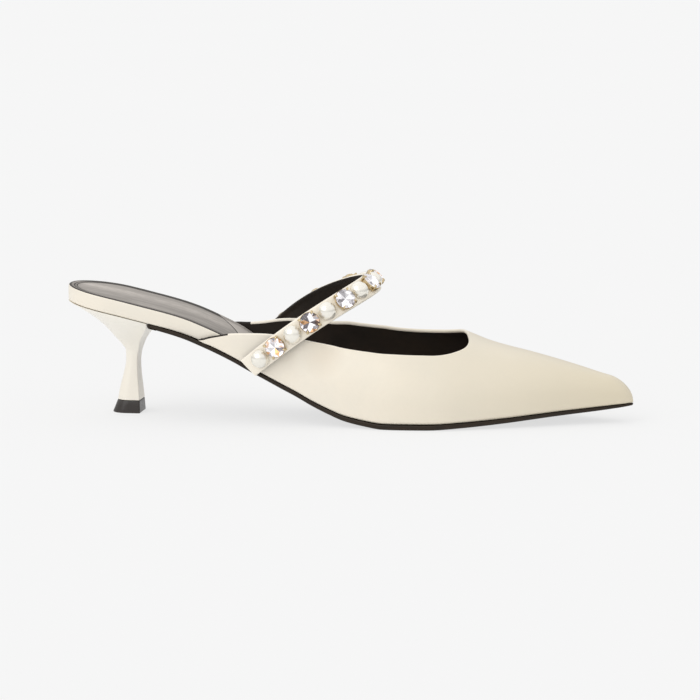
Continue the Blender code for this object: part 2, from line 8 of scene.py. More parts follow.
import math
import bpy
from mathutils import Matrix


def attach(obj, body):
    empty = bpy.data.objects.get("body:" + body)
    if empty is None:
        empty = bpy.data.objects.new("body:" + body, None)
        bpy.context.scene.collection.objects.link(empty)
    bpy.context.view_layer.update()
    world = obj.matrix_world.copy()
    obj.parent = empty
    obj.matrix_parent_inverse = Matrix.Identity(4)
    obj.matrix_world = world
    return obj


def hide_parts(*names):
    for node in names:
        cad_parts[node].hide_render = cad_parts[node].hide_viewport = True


bl_info = {
    "name": "Kitten-heel mule",
    "version": (1, 0, 0),
    "blender": (4, 5, 0),
    "location": "View3D > Sidebar > Mule",
    "description": "Builds the leather, sole, heel, sock and jewelled strap of a mule round its frame",
    "category": "Mesh",
}

import bmesh
import bpy
import numpy as np
from bpy.props import FloatProperty, FloatVectorProperty, PointerProperty
from mathutils import Vector

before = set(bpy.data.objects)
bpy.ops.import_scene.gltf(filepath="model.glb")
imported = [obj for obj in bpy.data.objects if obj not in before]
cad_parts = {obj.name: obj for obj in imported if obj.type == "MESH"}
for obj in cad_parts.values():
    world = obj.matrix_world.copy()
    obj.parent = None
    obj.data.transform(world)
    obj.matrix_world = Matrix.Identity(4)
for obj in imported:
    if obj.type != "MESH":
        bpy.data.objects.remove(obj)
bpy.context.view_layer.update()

MM = 0.001

# The shoe's sizes
SHOE_LENGTH = 255.0*MM
SEAT_SETBACK = 26.4*MM      # back of the seat behind the middle of the top piece
SEAT_WIDTH = 48.0*MM
WAIST_WIDTH = 47.0*MM
BALL_WIDTH = 76.0*MM
TOE_WIDTH = 14.0*MM
SEAT_RISE = 49.0*MM         # how far the seat stands above the tread
TOE_SPRING = 6.3*MM
INSTEP_HEIGHT = 50.0*MM     # heights of the last above the feather line
VAMP_HEIGHT = 35.0*MM
TOE_HEIGHT = 14.0*MM
SOLE_THICKNESS = 2.6*MM
WALL = 1.6*MM               # upper leather and its lining
RAND_HEIGHT = 6.8*MM        # wrapped edge of the insole board
BOARD_THICKNESS = 2.6*MM    # the same board inside the upper
SOCK_THICKNESS = 1.0*MM
RIM_WIDTH = 1.0*MM          # rand left bare round the sock
SOCK_RECESS = 1.5*MM        # depth of the sock's bed below that rim
TOE_ROUND = 6.0*MM
NOSE_ROUND = 11.0*MM
BULGE = 2.2*MM
BREAST_REACH = 40.0*MM      # from the back of the seat to the heel's breast
TOP_PIECE_HEIGHT = 5.6*MM
TOP_PIECE_WIDTH = 14.0*MM
TOP_PIECE_LENGTH = 13.6*MM
STRAP_THICKNESS = 2.0*MM
PEARL_WIDTH = 8.2*MM
CRYSTAL_WIDTH = 8.3*MM
CUP_WIDTH = 9.9*MM
CUP_HEIGHT = 1.9*MM
STONE_COUNT = 17
STONE_START = 7.6*MM        # from each end of the strap to its first pearl
GAP = 0.3*MM                # between pieces that lie together
BOARD_CLEARANCE = 0.7*MM    # from the board's edge to the upper's lining
LATERAL, MEDIAL = -1.0, 1.0
FULL_Y, FULL_Z = 0.80, 0.95    # powers that square the last's sections
TIP_INSET = 2.4             # how much further an inset draws back from the pointed tip

# Fine forms that only the looks have
UPPER_EASE = 0.993          # smooth skin drawn in to the faceted frame's width
FOLD_RADIUS = 0.8*MM        # rounded fold along the upper's top edge
EDGE_RIBS, VAMP_RIBS, SKIN_ROWS = 200, 90, 60
LASTED_RADIUS = 0.9*MM      # where the upper turns under at the sole
EDGE_FOLD = 0.9*MM          # cream fold seen past a black lining
STONE_WIDTH = 8.8*MM        # cut stone over its girdle, under the claws
WING_LINING_SHADOW = {LATERAL: 0.105, MEDIAL: 0.125}    # share of the topline whose fold shows the lining's black edge, a painted shadow line along the gap to the rand
DIMPLE_SHADE_SPOT = (93.6*MM, -31.0*MM, 31.5*MM)    # painted shade of a soft dimple beside the strap
# Colour of that painted shade
DIMPLE_SHADE_TONE = (0.62, 0.50, 0.36)
TOE_SHADE_SHARES = (0.82, 0.79, 0.70)             # painted shade at the toe: share of the leather's red, green and blue left there
FLOOR_GLOW = 0.690          # light the lit floor gives off, so that shadows stay faint
FOIL_GLINT_GLOW = 0.24            # painted glints: a glow that stands in for the many small flashes of a real stone
AMBER_REFLECTION_TONE = 0.72           # facet tone whose painted reflection turns amber
STONE_LIFT = 0.12*MM        # pearls and cups off the band's face
SOCK_MARGIN = RIM_WIDTH + 0.12*MM    # from the board's edge to the sock's
RAND_BELLY = 0.08*MM        # how far the rand's side stands out past its corners
# Dark lines round the sock, partly its dark turned edge and stitch line and partly painted shade at the edge
# and in the channels: distance from its edge and width, in mm
EDGE_AND_SHADE_LINES = ((-0.45, 0.75), (1.65, 0.34), (2.80, 0.28))
WAIST_SEAM = 50.5*MM        # where the sock's slanted seam meets the shoe's middle line
STITCH_LENGTH = 1.5*MM
STITCH_PITCH = 2.1*MM
THREAD_WIDTH = 0.34*MM
STITCH_INSET = 1.65*MM      # from the sock's edge

# Outline at the feather line: share of length, size it scales with,
# lateral and medial half-widths as shares of that size
PLAN = [
    (0.000, SEAT_WIDTH, 0.500, 0.500),
    (0.094, SEAT_WIDTH, 0.500, 0.500),
    (0.190, SEAT_WIDTH, 0.510, 0.492),
    (0.294, WAIST_WIDTH, 0.537, 0.457),
    (0.380, WAIST_WIDTH, 0.566, 0.432),
    (0.450, BALL_WIDTH, 0.394, 0.292),
    (0.520, BALL_WIDTH, 0.455, 0.360),
    (0.600, BALL_WIDTH, 0.503, 0.450),
    (0.667, BALL_WIDTH, 0.487, 0.490),
    (0.740, BALL_WIDTH, 0.410, 0.446),
    (0.820, BALL_WIDTH, 0.295, 0.343),
    (0.900, TOE_WIDTH, 0.900, 1.110),
    (0.960, TOE_WIDTH, 0.440, 0.560),
    (1.000, TOE_WIDTH, 0.180, 0.300),
]

# Feather line from the side: share of length, share of the seat's rise,
# share of the toe spring, sole thickness as a share of its full thickness
PROFILE = [
    (0.000, 1.000, 0.00, 0.80),
    (0.078, 0.926, 0.00, 0.80),
    (0.137, 0.856, 0.00, 0.80),
    (0.196, 0.780, 0.00, 0.82),
    (0.224, 0.735, 0.00, 0.82),
    (0.251, 0.680, 0.00, 0.84),
    (0.282, 0.610, 0.00, 0.84),
    (0.310, 0.540, 0.00, 0.84),
    (0.337, 0.465, 0.00, 0.84),
    (0.365, 0.391, 0.00, 0.84),
    (0.394, 0.316, 0.00, 0.86),
    (0.424, 0.243, 0.00, 0.88),
    (0.451, 0.172, 0.00, 0.90),
    (0.481, 0.106, 0.00, 0.92),
    (0.510, 0.054, 0.00, 0.95),
    (0.545, 0.020, 0.00, 0.98),
    (0.580, 0.000, 0.00, 1.00),
    (0.650, 0.000, 0.00, 1.00),
    (0.710, 0.000, 0.10, 0.96),
    (0.785, 0.000, 0.30, 0.88),
    (0.860, 0.000, 0.56, 0.80),
    (0.940, 0.000, 0.80, 0.70),
    (1.000, 0.000, 1.00, 0.50),
]

# Crest of the last: share of length, size it scales with, height above the feather
# line as a share of that size, shift to the medial side as a share of ball width
RIDGE = [
    (0.230, INSTEP_HEIGHT, 0.740, 0.020),
    (0.310, INSTEP_HEIGHT, 0.860, 0.030),
    (0.390, INSTEP_HEIGHT, 1.000, 0.050),
    (0.470, INSTEP_HEIGHT, 1.040, 0.070),
    (0.550, INSTEP_HEIGHT, 0.970, 0.080),
    (0.610, VAMP_HEIGHT, 1.270, 0.080),
    (0.667, VAMP_HEIGHT, 1.120, 0.075),
    (0.715, VAMP_HEIGHT, 0.968, 0.070),
    (0.745, VAMP_HEIGHT, 0.874, 0.065),
    (0.820, VAMP_HEIGHT, 0.702, 0.055),
    (0.900, TOE_HEIGHT, 1.270, 0.045),
    (0.960, TOE_HEIGHT, 0.890, 0.030),
    (1.000, TOE_HEIGHT, 0.690, 0.020),
]

# Top edge of each side of the upper, by ribs: share of length at the feather line,
# share of length at the top edge, share of the way up to the crest
TOPLINE = {
    LATERAL: [
        (0.249, 0.249, 0.002),
        (0.265, 0.265, 0.049),
        (0.283, 0.283, 0.092),
        (0.306, 0.306, 0.144),
        (0.341, 0.341, 0.205),
        (0.377, 0.377, 0.252),
        (0.414, 0.414, 0.292),
        (0.451, 0.451, 0.328),
        (0.508, 0.508, 0.385),
        (0.565, 0.565, 0.432),
        (0.620, 0.620, 0.474),
        (0.648, 0.646, 0.504),
        (0.668, 0.668, 0.537),
        (0.690, 0.686, 0.585),
        (0.706, 0.698, 0.636),
        (0.718, 0.707, 0.690),
        (0.728, 0.713, 0.752),
        (0.736, 0.715, 0.830),
        (0.742, 0.713, 0.915),
        (0.748, 0.707, 1.000),
    ],
    MEDIAL: [
        (0.249, 0.249, 0.002),
        (0.265, 0.265, 0.052),
        (0.283, 0.283, 0.094),
        (0.310, 0.310, 0.140),
        (0.335, 0.335, 0.191),
        (0.365, 0.365, 0.250),
        (0.414, 0.414, 0.325),
        (0.464, 0.464, 0.391),
        (0.493, 0.493, 0.438),
        (0.549, 0.549, 0.499),
        (0.605, 0.605, 0.538),
        (0.634, 0.634, 0.580),
        (0.664, 0.661, 0.648),
        (0.684, 0.671, 0.686),
        (0.702, 0.680, 0.730),
        (0.716, 0.687, 0.780),
        (0.727, 0.693, 0.832),
        (0.736, 0.698, 0.888),
        (0.742, 0.703, 0.944),
        (0.748, 0.707, 1.000),
    ],
}

# Heel sections from the floor end up, in shares: height of the back and of the
# breast (of the heel's height), back and breast positions (of the setback),
# half-width (of the seat width)
HEEL_SECTIONS = [
    (0.117, 0.117, -0.170, 0.247, 0.130),
    (0.218, 0.208, -0.130, 0.232, 0.116),
    (0.349, 0.337, -0.063, 0.210, 0.102),
    (0.460, 0.436, -0.024, 0.203, 0.095),
    (0.545, 0.515, -0.028, 0.216, 0.099),
    (0.608, 0.572, -0.105, 0.240, 0.121),
    (0.672, 0.628, -0.220, 0.275, 0.165),
    (0.732, 0.675, -0.318, 0.322, 0.226),
    (0.782, 0.712, -0.409, 0.376, 0.292),
    (0.840, 0.748, -0.538, 0.432, 0.364),
    (0.897, 0.782, -0.686, 0.478, 0.430),
    (0.955, 0.820, -0.868, 0.508, 0.480),
]

# Board thickness: share of length, share of the rand height, share of the board
# thickness, share of the inset that hides its edge inside the upper
BOARD = [
    (0.000, 1.000, 0.00, 0.00),
    (0.150, 1.000, 0.00, 0.00),
    (0.243, 1.000, 0.00, 0.84),
    (0.290, 1.000, 0.00, 1.00),
    (0.330, 0.780, 0.00, 1.00),
    (0.400, 0.420, 0.20, 1.00),
    (0.480, 0.000, 1.00, 1.00),
    (0.700, 0.000, 0.90, 1.00),
    (0.900, 0.000, 0.70, 1.00),
    (1.000, 0.000, 0.45, 1.00),
]

# Strap edges: distance from the back of the seat in shares of length and height
# above the floor in shares of instep height, at the lateral foot, crown and medial foot
STRAP_EDGES = {
    "rear": ((0.323, 0.552), (0.5265, 1.283), (0.310, 0.580)),
    "front": ((0.349, 0.415), (0.5570, 1.152), (0.332, 0.470)),
}
# How far each half bows upward, stands out sideways, and tucks in near its foot, up to the
# share of the rise where it stops hugging the upper; a fuller arch has squarer shoulders
STRAP_BOW = {LATERAL: 0.028, MEDIAL: 0.104}
STRAP_SPAN = {LATERAL: 0.700, MEDIAL: 0.645}
STRAP_TUCK = {LATERAL: 0.094, MEDIAL: 0.115}
STRAP_HUG = 0.45
STRAP_FULLNESS = 2.7

# Soft troughs and swells pressed into the upper: side, share of length, share
# of the way up, lengths along and up the shoe, slant in degrees, depth (down is plus)
CREASES = [
    (LATERAL, 0.472, 0.30, 8.0*MM, 6.5*MM, 25.0, 1.10*MM),
    (LATERAL, 0.560, 0.30, 26.0*MM, 9.0*MM, 12.0, 0.25*MM),
    (LATERAL, 0.690, 0.30, 30.0*MM, 8.0*MM, -18.0, 0.22*MM),
    (LATERAL, 0.640, 0.16, 34.0*MM, 7.0*MM, 6.0, -0.22*MM),
    (LATERAL, 0.800, 0.55, 28.0*MM, 7.0*MM, -10.0, 0.20*MM),
    (MEDIAL, 0.620, 0.28, 30.0*MM, 9.0*MM, 10.0, 0.28*MM),
    (MEDIAL, 0.760, 0.40, 30.0*MM, 8.0*MM, -14.0, 0.22*MM),
    (MEDIAL, 0.460, 0.18, 18.0*MM, 7.0*MM, 30.0, 0.25*MM),
]

# The photograph's viewpoint
VIEW_AZIMUTH = 8.0
VIEW_ELEVATION = 8.0
VIEW_DISTANCE = 1.5
VIEW_TARGET = (0.10163, 0.0, 0.02984)
VIEW_LENS = 172.07


def colour_choice(name, description, default):
    """A colour that a user may change."""
    return FloatVectorProperty(name=name, description=description, subtype="COLOR", size=3, min=0.0, max=1.0,
                               default=default)


class MuleLooks(bpy.types.PropertyGroup):
    """Sizes and colours that a user may change before building."""

    leather: colour_choice("Leather", "Cream leather of the upper, rand and strap", (0.868, 0.806, 0.694))
    # Painted light: the heel cover is painted lighter than the upper's leather, for the brighter light the
    # heel catches
    heel_leather: colour_choice("Heel cover", "Leather over the heel", (0.968, 0.928, 0.836))
    lining: colour_choice("Lining", "Dark lining of the upper and strap", (0.009, 0.005, 0.002))
    sock: colour_choice("Sock", "Grey leather under the foot", (0.430, 0.395, 0.362))
    sole: colour_choice("Sole", "Dark edge and underside of the sole", (0.017, 0.011, 0.006))
    pearl: colour_choice("Pearl", "Body colour of the pearls", (0.900, 0.870, 0.790))
    gilt: colour_choice("Gilt", "Metal of the claw cups", (0.700, 0.560, 0.340))
    grain_size: FloatProperty(
        name="Grain size", description="Width of one grain of the leather", default=0.00055,
        min=0.0001, max=0.01, unit="LENGTH")
    grain_depth: FloatProperty(
        name="Grain depth", description="Depth of the leather's grain", default=0.00003,
        min=0.0, max=0.001, unit="LENGTH")
    light: FloatProperty(
        name="Light", description="Strength of the studio light", default=1.0, min=0.0, max=10.0)


def ease(at, xs, ys):
    """Smooth curve through (xs, ys) that never overshoots them; ys may hold whole sections."""
    at = np.atleast_1d(np.asarray(at, float))
    xs, ys = np.asarray(xs, float), np.asarray(ys, float)
    extra = (1,)*(ys.ndim - 1)
    gap = np.diff(xs).reshape(-1, *extra)
    rise = np.diff(ys, axis=0)/gap
    same = rise[:-1]*rise[1:] > 0
    w1, w2 = 2*gap[1:] + gap[:-1], gap[1:] + 2*gap[:-1]
    low, high = np.where(same, rise[:-1], 1.0), np.where(same, rise[1:], 1.0)
    inner = np.where(same, (w1 + w2)/(w1/low + w2/high), 0.0)
    slope = np.concatenate([rise[:1], inner, rise[-1:]])
    flat = np.clip(at.ravel(), xs[0], xs[-1])
    k = np.clip(np.searchsorted(xs, flat, side="right") - 1, 0, len(xs) - 2)
    t = ((flat - xs[k])/(xs[k + 1] - xs[k])).reshape(-1, *extra)
    value = ((2*t**3 - 3*t**2 + 1)*ys[k] + (t**3 - 2*t**2 + t)*gap[k]*slope[k]
             + (3*t**2 - 2*t**3)*ys[k + 1] + (t**3 - t**2)*gap[k]*slope[k + 1])
    return value.reshape(*at.shape, *ys.shape[1:])


def read(table, share, column, size=None):
    """Value of a table's column at a share of length, times the size in another column."""
    scale = [1.0 if size is None else row[size] for row in table]
    return ease(share, [row[0] for row in table], [row[column]*k for row, k in zip(table, scale)])


def rounded(distance, radius):
    """Closes an end like a quarter circle: 0 at the end, 1 a radius away from it."""
    return np.sqrt(1 - np.clip(1 - distance/radius, 0, 1)**2)


def half_width(s, side, inset=0.0):
    """Half-width at the feather line, closed round the seat and at the toe."""
    width = read(PLAN, s/SHOE_LENGTH, 2 if side == LATERAL else 3, 1) - inset
    back = rounded(s - inset, SEAT_WIDTH/2 - inset)
    front = rounded(SHOE_LENGTH - TIP_INSET*inset - s, TOE_ROUND)
    return np.maximum(width, 0.05*MM)*back*front


def feather(s):
    """Height of the feather line above the floor."""
    share = s/SHOE_LENGTH
    return SOLE_THICKNESS + SEAT_RISE*read(PROFILE, share, 1) + TOE_SPRING*read(PROFILE, share, 2)


def underside(s):
    """Height of the sole's lower face, zero on the tread."""
    return feather(s) - SOLE_THICKNESS*read(PROFILE, s/SHOE_LENGTH, 3)


def crest(s, inset=0.0):
    """Height of the last's crest above the feather line, and its sideways shift."""
    share = s/SHOE_LENGTH
    height = np.maximum(read(RIDGE, share, 2, 1) - inset, 0.05*MM)
    return height*rounded(SHOE_LENGTH - TIP_INSET*inset - s, NOSE_ROUND), BALL_WIDTH*read(RIDGE, share, 3)


def last_surface(s, climb, side, inset=0.0):
    """Point on the last: a squared quarter ellipse from the feather line (climb 0) to the crest
    (climb 1), swollen between them and closed at the toe."""
    height, shift = crest(s, inset)
    reach = half_width(s, side, inset)
    narrow = 0.3*(half_width(s, LATERAL, inset) + half_width(s, MEDIAL, inset))
    shift = np.clip(shift, -narrow, narrow)
    span = reach - side*shift
    angle = climb*math.pi/2
    bulge = BULGE*np.sin(2*angle)*np.clip(span/(20*MM), 0, 1)
    y = shift + side*(span*np.clip(np.cos(angle), 0, 1)**FULL_Y + bulge)
    z = feather(s) + height*np.clip(np.sin(angle), 0, 1)**FULL_Z
    return np.stack(np.broadcast_arrays(s - SEAT_SETBACK, y, z), axis=-1)


def steps(start, end, count, start_round=0.0, end_round=0.0):
    """Distances along the shoe, evenly turned round each rounded end."""
    parts = []
    if start_round:
        turn = np.linspace(0, math.pi/2, count//4)
        parts.append(start + start_round*(1 - np.cos(turn)))
    middle = np.linspace(start + start_round, end - end_round, count)
    parts.append(middle[1:] if start_round else middle)
    if end_round:
        turn = np.linspace(0, math.pi/2, count//4)[1:]
        parts.append(end - end_round*(1 - np.sin(turn)))
    return np.concatenate(parts)


def unit(vectors):
    """Vectors scaled to length one."""
    return vectors/np.maximum(np.linalg.norm(vectors, axis=-1, keepdims=True), 1e-12)


def grid_faces(rows, columns, wrap_rows=False, wrap_columns=False, first=0):
    """Quads of a grid numbered row by row, closed round either way if asked."""
    r = np.arange(rows if wrap_rows else rows - 1)
    c = np.arange(columns if wrap_columns else columns - 1)
    r, c = np.meshgrid(r, c, indexing="ij")
    r2, c2 = (r + 1) % rows, (c + 1) % columns
    quads = np.stack([r*columns + c, r2*columns + c, r2*columns + c2, r*columns + c2], axis=-1)
    return quads.reshape(-1, 4) + first


def piece(name, points, faces, looks, slots=None, sharp=None, marks=None):
    """One finished object from arrays of points and quads, riding on the shoe's body; marks
    are named values at the points for the material."""
    mesh = bpy.data.meshes.new(name)
    mesh.from_pydata(np.asarray(points, float).reshape(-1, 3), [], np.asarray(faces).tolist())
    for look in looks:
        mesh.materials.append(look)
    if slots is not None:
        mesh.polygons.foreach_set("material_index", np.asarray(slots, np.int32))
    for mark, values in (marks or {}).items():
        layer = mesh.attributes.new(mark, "FLOAT", "POINT")
        layer.data.foreach_set("value", np.asarray(values, np.float32).ravel())
    made = bpy.data.objects.new(name, mesh)
    bpy.context.scene.collection.objects.link(made)
    close_mesh(mesh)
    mesh.shade_smooth()
    if sharp:
        mesh.set_sharp_from_angle(angle=math.radians(sharp))
    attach(made, "root")
    return made


def close_mesh(mesh):
    """Merges doubled points, drops empty faces and turns every face outward."""
    shape = bmesh.new()
    shape.from_mesh(mesh)
    bmesh.ops.remove_doubles(shape, verts=shape.verts, dist=0.000002)
    bmesh.ops.dissolve_degenerate(shape, edges=shape.edges, dist=0.000001)
    bmesh.ops.recalc_face_normals(shape, faces=shape.faces)
    shape.to_mesh(mesh)
    shape.free()


def tube(path, radius, sides=10):
    """Rings round a path (n points); radius may vary along it."""
    path = np.asarray(path, float)
    radius = np.broadcast_to(radius, len(path)).astype(float)
    along = unit(np.gradient(path, axis=0))
    other = np.where(np.abs(along[:, 2:]) > 0.9, [1.0, 0, 0], [0, 0, 1.0])
    first = unit(np.cross(along, other))
    second = np.cross(along, first)
    turn = np.linspace(0, 2*math.pi, sides, endpoint=False)[None, :, None]
    return path[:, None] + radius[:, None, None]*(np.cos(turn)*first[:, None] + np.sin(turn)*second[:, None])


def rings_piece(rings, first=0):
    """Points and faces through closed rings whose two ends are drawn to a point."""
    count, sides = rings.shape[:2]
    ends = np.stack([rings[0].mean(0), rings[-1].mean(0)])
    full = np.concatenate([np.repeat(ends[:1], sides, 0)[None], rings, np.repeat(ends[1:], sides, 0)[None]])
    return full.reshape(-1, 3), grid_faces(count + 2, sides, wrap_columns=True, first=first)


def joined(parts):
    """Several (points, faces) pairs as one."""
    points, faces, start = [], [], 0
    for p, f in parts:
        points.append(np.asarray(p).reshape(-1, 3))
        faces.append(np.asarray(f) + start)
        start += len(points[-1])
    return np.concatenate(points), np.concatenate(faces)


def edged_slab(s, half, profile):
    """A thin closed slab. half(s, side) gives its outline; profile(s) gives for every outline
    point a row of insets along the outline's own normal, from the lower face round the edge
    to the middle of the upper face, and a rule that turns the moved points' distances s into
    their heights. Rungs across the shoe close the two faces."""
    lateral = np.stack([s - SEAT_SETBACK, -half(s, LATERAL)], axis=-1)
    medial = np.stack([s - SEAT_SETBACK, half(s, MEDIAL)], axis=-1)
    loop = np.concatenate([lateral, medial[::-1]])
    station = np.concatenate([s, s[::-1]])
    ahead = np.roll(loop, -1, axis=0) - np.roll(loop, 1, axis=0)
    inward = unit(np.stack([-ahead[:, 1], ahead[:, 0]], axis=-1))
    insets, height = profile(station)
    width = np.abs(loop[:, 1])[:, None]
    fold = 0.9*width/np.maximum(np.abs(inward[:, 1:]), 0.3)
    # Round the back end the middle is far off, however narrow the outline is there
    back = np.where(station[:, None] - s[0] < 12*MM, width/np.maximum(np.abs(inward[:, 1:]), 0.02), 0)
    back[:4], back[-4:] = back[4], back[-5]
    fold = np.maximum(fold, 0.9*back)
    insets = fold*np.tanh(insets/np.maximum(fold, 1e-9))
    flat = loop[:, None] + insets[..., None]*inward[:, None]
    moved = np.clip(flat[..., 0] + SEAT_SETBACK, s[0], s[-1])
    points = np.concatenate([flat, height(moved)[..., None]], axis=-1)
    count, rows = points.shape[:2]
    index = np.arange(count*rows).reshape(count, rows)
    faces = [grid_faces(count, rows, wrap_rows=True)]
    n = len(s)
    i = np.arange(n - 1)
    for line in (index[:, 0], index[:, -1]):
        faces.append(np.stack([line[i], line[i + 1], line[count - 2 - i], line[count - 1 - i]], axis=-1))
    return points.reshape(-1, 3), np.concatenate(faces)


def new_material(name, rough=0.5, metal=0.0, specular=0.5, coat=0.0, coat_rough=0.1):
    """A principled material whose steady values sit on the shader's own sockets."""
    made = bpy.data.materials.new(f"{name} finish")
    made.use_nodes = True
    shader = made.node_tree.nodes["Principled BSDF"]
    shader.inputs["Roughness"].default_value = rough
    shader.inputs["Metallic"].default_value = metal
    shader.inputs["Specular IOR Level"].default_value = specular
    shader.inputs["Coat Weight"].default_value = coat
    shader.inputs["Coat Roughness"].default_value = coat_rough
    return made, made.node_tree, shader


def add(tree, kind, inputs=None, **settings):
    """A node with its settings and inputs; an input may be a value or another socket."""
    node = tree.nodes.new(kind)
    for key, value in settings.items():
        setattr(node, key, value)
    for key, value in (inputs or {}).items():
        if isinstance(value, bpy.types.NodeSocket):
            tree.links.new(value, node.inputs[key])
        else:
            node.inputs[key].default_value = value
    return node


def place(tree):
    """The piece's own Object coordinates."""
    return add(tree, "ShaderNodeTexCoord").outputs["Object"]


def noise(tree, where, size, detail=3.0, rough=0.5):
    """Cloudy noise whose patches are about size across."""
    node = add(tree, "ShaderNodeTexNoise", {"Vector": where, "Scale": 1/size, "Detail": detail,
                                             "Roughness": rough})
    return node.outputs["Fac"]


def spread(tree, value, low, high, out_low, out_high):
    """Value stretched from one range to another."""
    node = add(tree, "ShaderNodeMapRange", {"Value": value, "From Min": low, "From Max": high,
                                            "To Min": out_low, "To Max": out_high})
    return node.outputs["Result"]


def blend(tree, amount, first, second):
    """Colour between two others."""
    node = add(tree, "ShaderNodeMix", data_type="RGBA")
    colours = [socket for socket in node.inputs if socket.type == "RGBA"]
    for socket, value in ((node.inputs["Factor"], amount), (colours[0], first), (colours[1], second)):
        if isinstance(value, bpy.types.NodeSocket):
            tree.links.new(value, socket)
        else:
            socket.default_value = (*value, 1.0) if socket.type == "RGBA" else value
    return [socket for socket in node.outputs if socket.type == "RGBA"][0]


def maths(tree, what, first, second=0.0):
    """One arithmetic step."""
    return add(tree, "ShaderNodeMath", {0: first, 1: second}, operation=what).outputs["Value"]


def times(tree, first, second):
    """Product of two values."""
    return maths(tree, "MULTIPLY", first, second)


def apart(tree, value, middle):
    """How far one value is from another, either way."""
    return maths(tree, "ABSOLUTE", maths(tree, "SUBTRACT", value, middle))


def split(tree, where):
    """A place's distances along the shoe, across it and up."""
    node = add(tree, "ShaderNodeSeparateXYZ", {"Vector": where})
    return node.outputs["X"], node.outputs["Y"], node.outputs["Z"]


def drawn_out(tree, where, scale):
    """A place with its distances scaled, so that a pattern on it is longer one way."""
    return add(tree, "ShaderNodeMapping", {"Vector": where, "Scale": scale}).outputs["Vector"]


def bump(tree, height, depth, normal=None):
    """Relief of the given depth, on top of another where one is given."""
    inputs = {"Height": height, "Distance": depth}
    if normal is not None:
        inputs["Normal"] = normal
    return add(tree, "ShaderNodeBump", inputs).outputs["Normal"]


def connect(tree, shader, tone, rough=None, normal=None):
    """Links the colour, and the roughness and relief where they vary, to the shader."""
    for socket, name in ((tone, "Base Color"), (rough, "Roughness"), (normal, "Normal")):
        if socket is not None:
            tree.links.new(socket, shader.inputs[name])


def shade(colour, factor, warm=0.0):
    """A colour made lighter or darker, and warmer or cooler."""
    return tuple(min(1.0, max(0.0, c*factor*(1 + warm*(1 - k)))) for k, c in enumerate(colour))


def leather_bump(tree, where, size, depth, normal=None):
    """Fine pores of smooth leather: small cells under a softer, wider grain."""
    cells = add(tree, "ShaderNodeTexVoronoi", {"Vector": where, "Scale": 1/size, "Randomness": 1.0},
                feature="SMOOTH_F1").outputs["Distance"]
    fine = noise(tree, where, size*0.8, 4.0, 0.6)
    wide = noise(tree, where, size*9, 2.0, 0.5)
    height = maths(tree, "ADD", times(tree, cells, 0.55), times(tree, fine, 0.35))
    height = maths(tree, "ADD", height, times(tree, wide, 0.9))
    return bump(tree, height, depth, normal)


def cream_leather(name, colour, looks, rough=0.40, mark=None):
    """Smooth cream calf: faint cloudy tone, painted shade deeper towards the toe and, on the heel,
    towards the floor, pores, satin finish with duller patches, and painted shade of a soft dimple at the
    place given."""
    made, tree, shader = new_material(name, rough, specular=0.45, coat=0.12, coat_rough=0.28)
    where = place(tree)
    x, _, z = split(tree, where)
    cloud = noise(tree, where, 26*MM, 4.0, 0.55)
    freckle = noise(tree, where, 1.6*MM, 3.0, 0.6)
    dull = noise(tree, where, 9*MM, 4.0, 0.6)
    tone = blend(tree, spread(tree, cloud, 0.3, 0.7, 0.0, 1.0), shade(colour, 0.965, -0.01),
                 shade(colour, 1.02, 0.01))
    tone = blend(tree, spread(tree, freckle, 0.45, 0.75, 0.0, 0.18), tone, shade(colour, 0.90, 0.02))
    # Painted shade: darker towards the toe
    toe = tuple(value*share for value, share in zip(colour, TOE_SHADE_SHARES))
    tone = blend(tree, spread(tree, x, 0.33*SHOE_LENGTH, 0.86*SHOE_LENGTH, 0.0, 1.0), tone, toe)
    # Painted shade of a soft dimple, fading out round the spot given
    if mark:
        away = add(tree, "ShaderNodeVectorMath", {"Vector": where, 1: mark}, operation="DISTANCE")
        tone = blend(tree, spread(tree, away.outputs["Value"], 1*MM, 11*MM, 0.34, 0.0), tone, DIMPLE_SHADE_TONE)
    # Painted shade: darker low down at the back, on the heel, towards the floor
    low = times(tree, spread(tree, z, 12*MM, 48*MM, 1.0, 0.0), spread(tree, x, 10*MM, 20*MM, 1.0, 0.0))
    tone = blend(tree, low, tone, shade(colour, 0.88, 0.02))
    connect(tree, shader, tone, spread(tree, dull, 0.3, 0.7, rough - 0.05, rough + 0.07),
            leather_bump(tree, where, looks.grain_size, looks.grain_depth))
    return made


def dark_lining(looks):
    """Black lining leather with a soft, slightly brown sheen and open pores."""
    made, tree, shader = new_material("lining leather", 0.52, specular=0.35)
    where = place(tree)
    worn = noise(tree, where, 12*MM, 4.0, 0.6)
    tone = blend(tree, spread(tree, worn, 0.4, 0.8, 0.0, 1.0), tuple(looks.lining),
                 shade(looks.lining, 1.9, 0.1))
    connect(tree, shader, tone, spread(tree, worn, 0.3, 0.7, 0.46, 0.60),
            leather_bump(tree, where, looks.grain_size*1.3, looks.grain_depth*1.5))
    return made


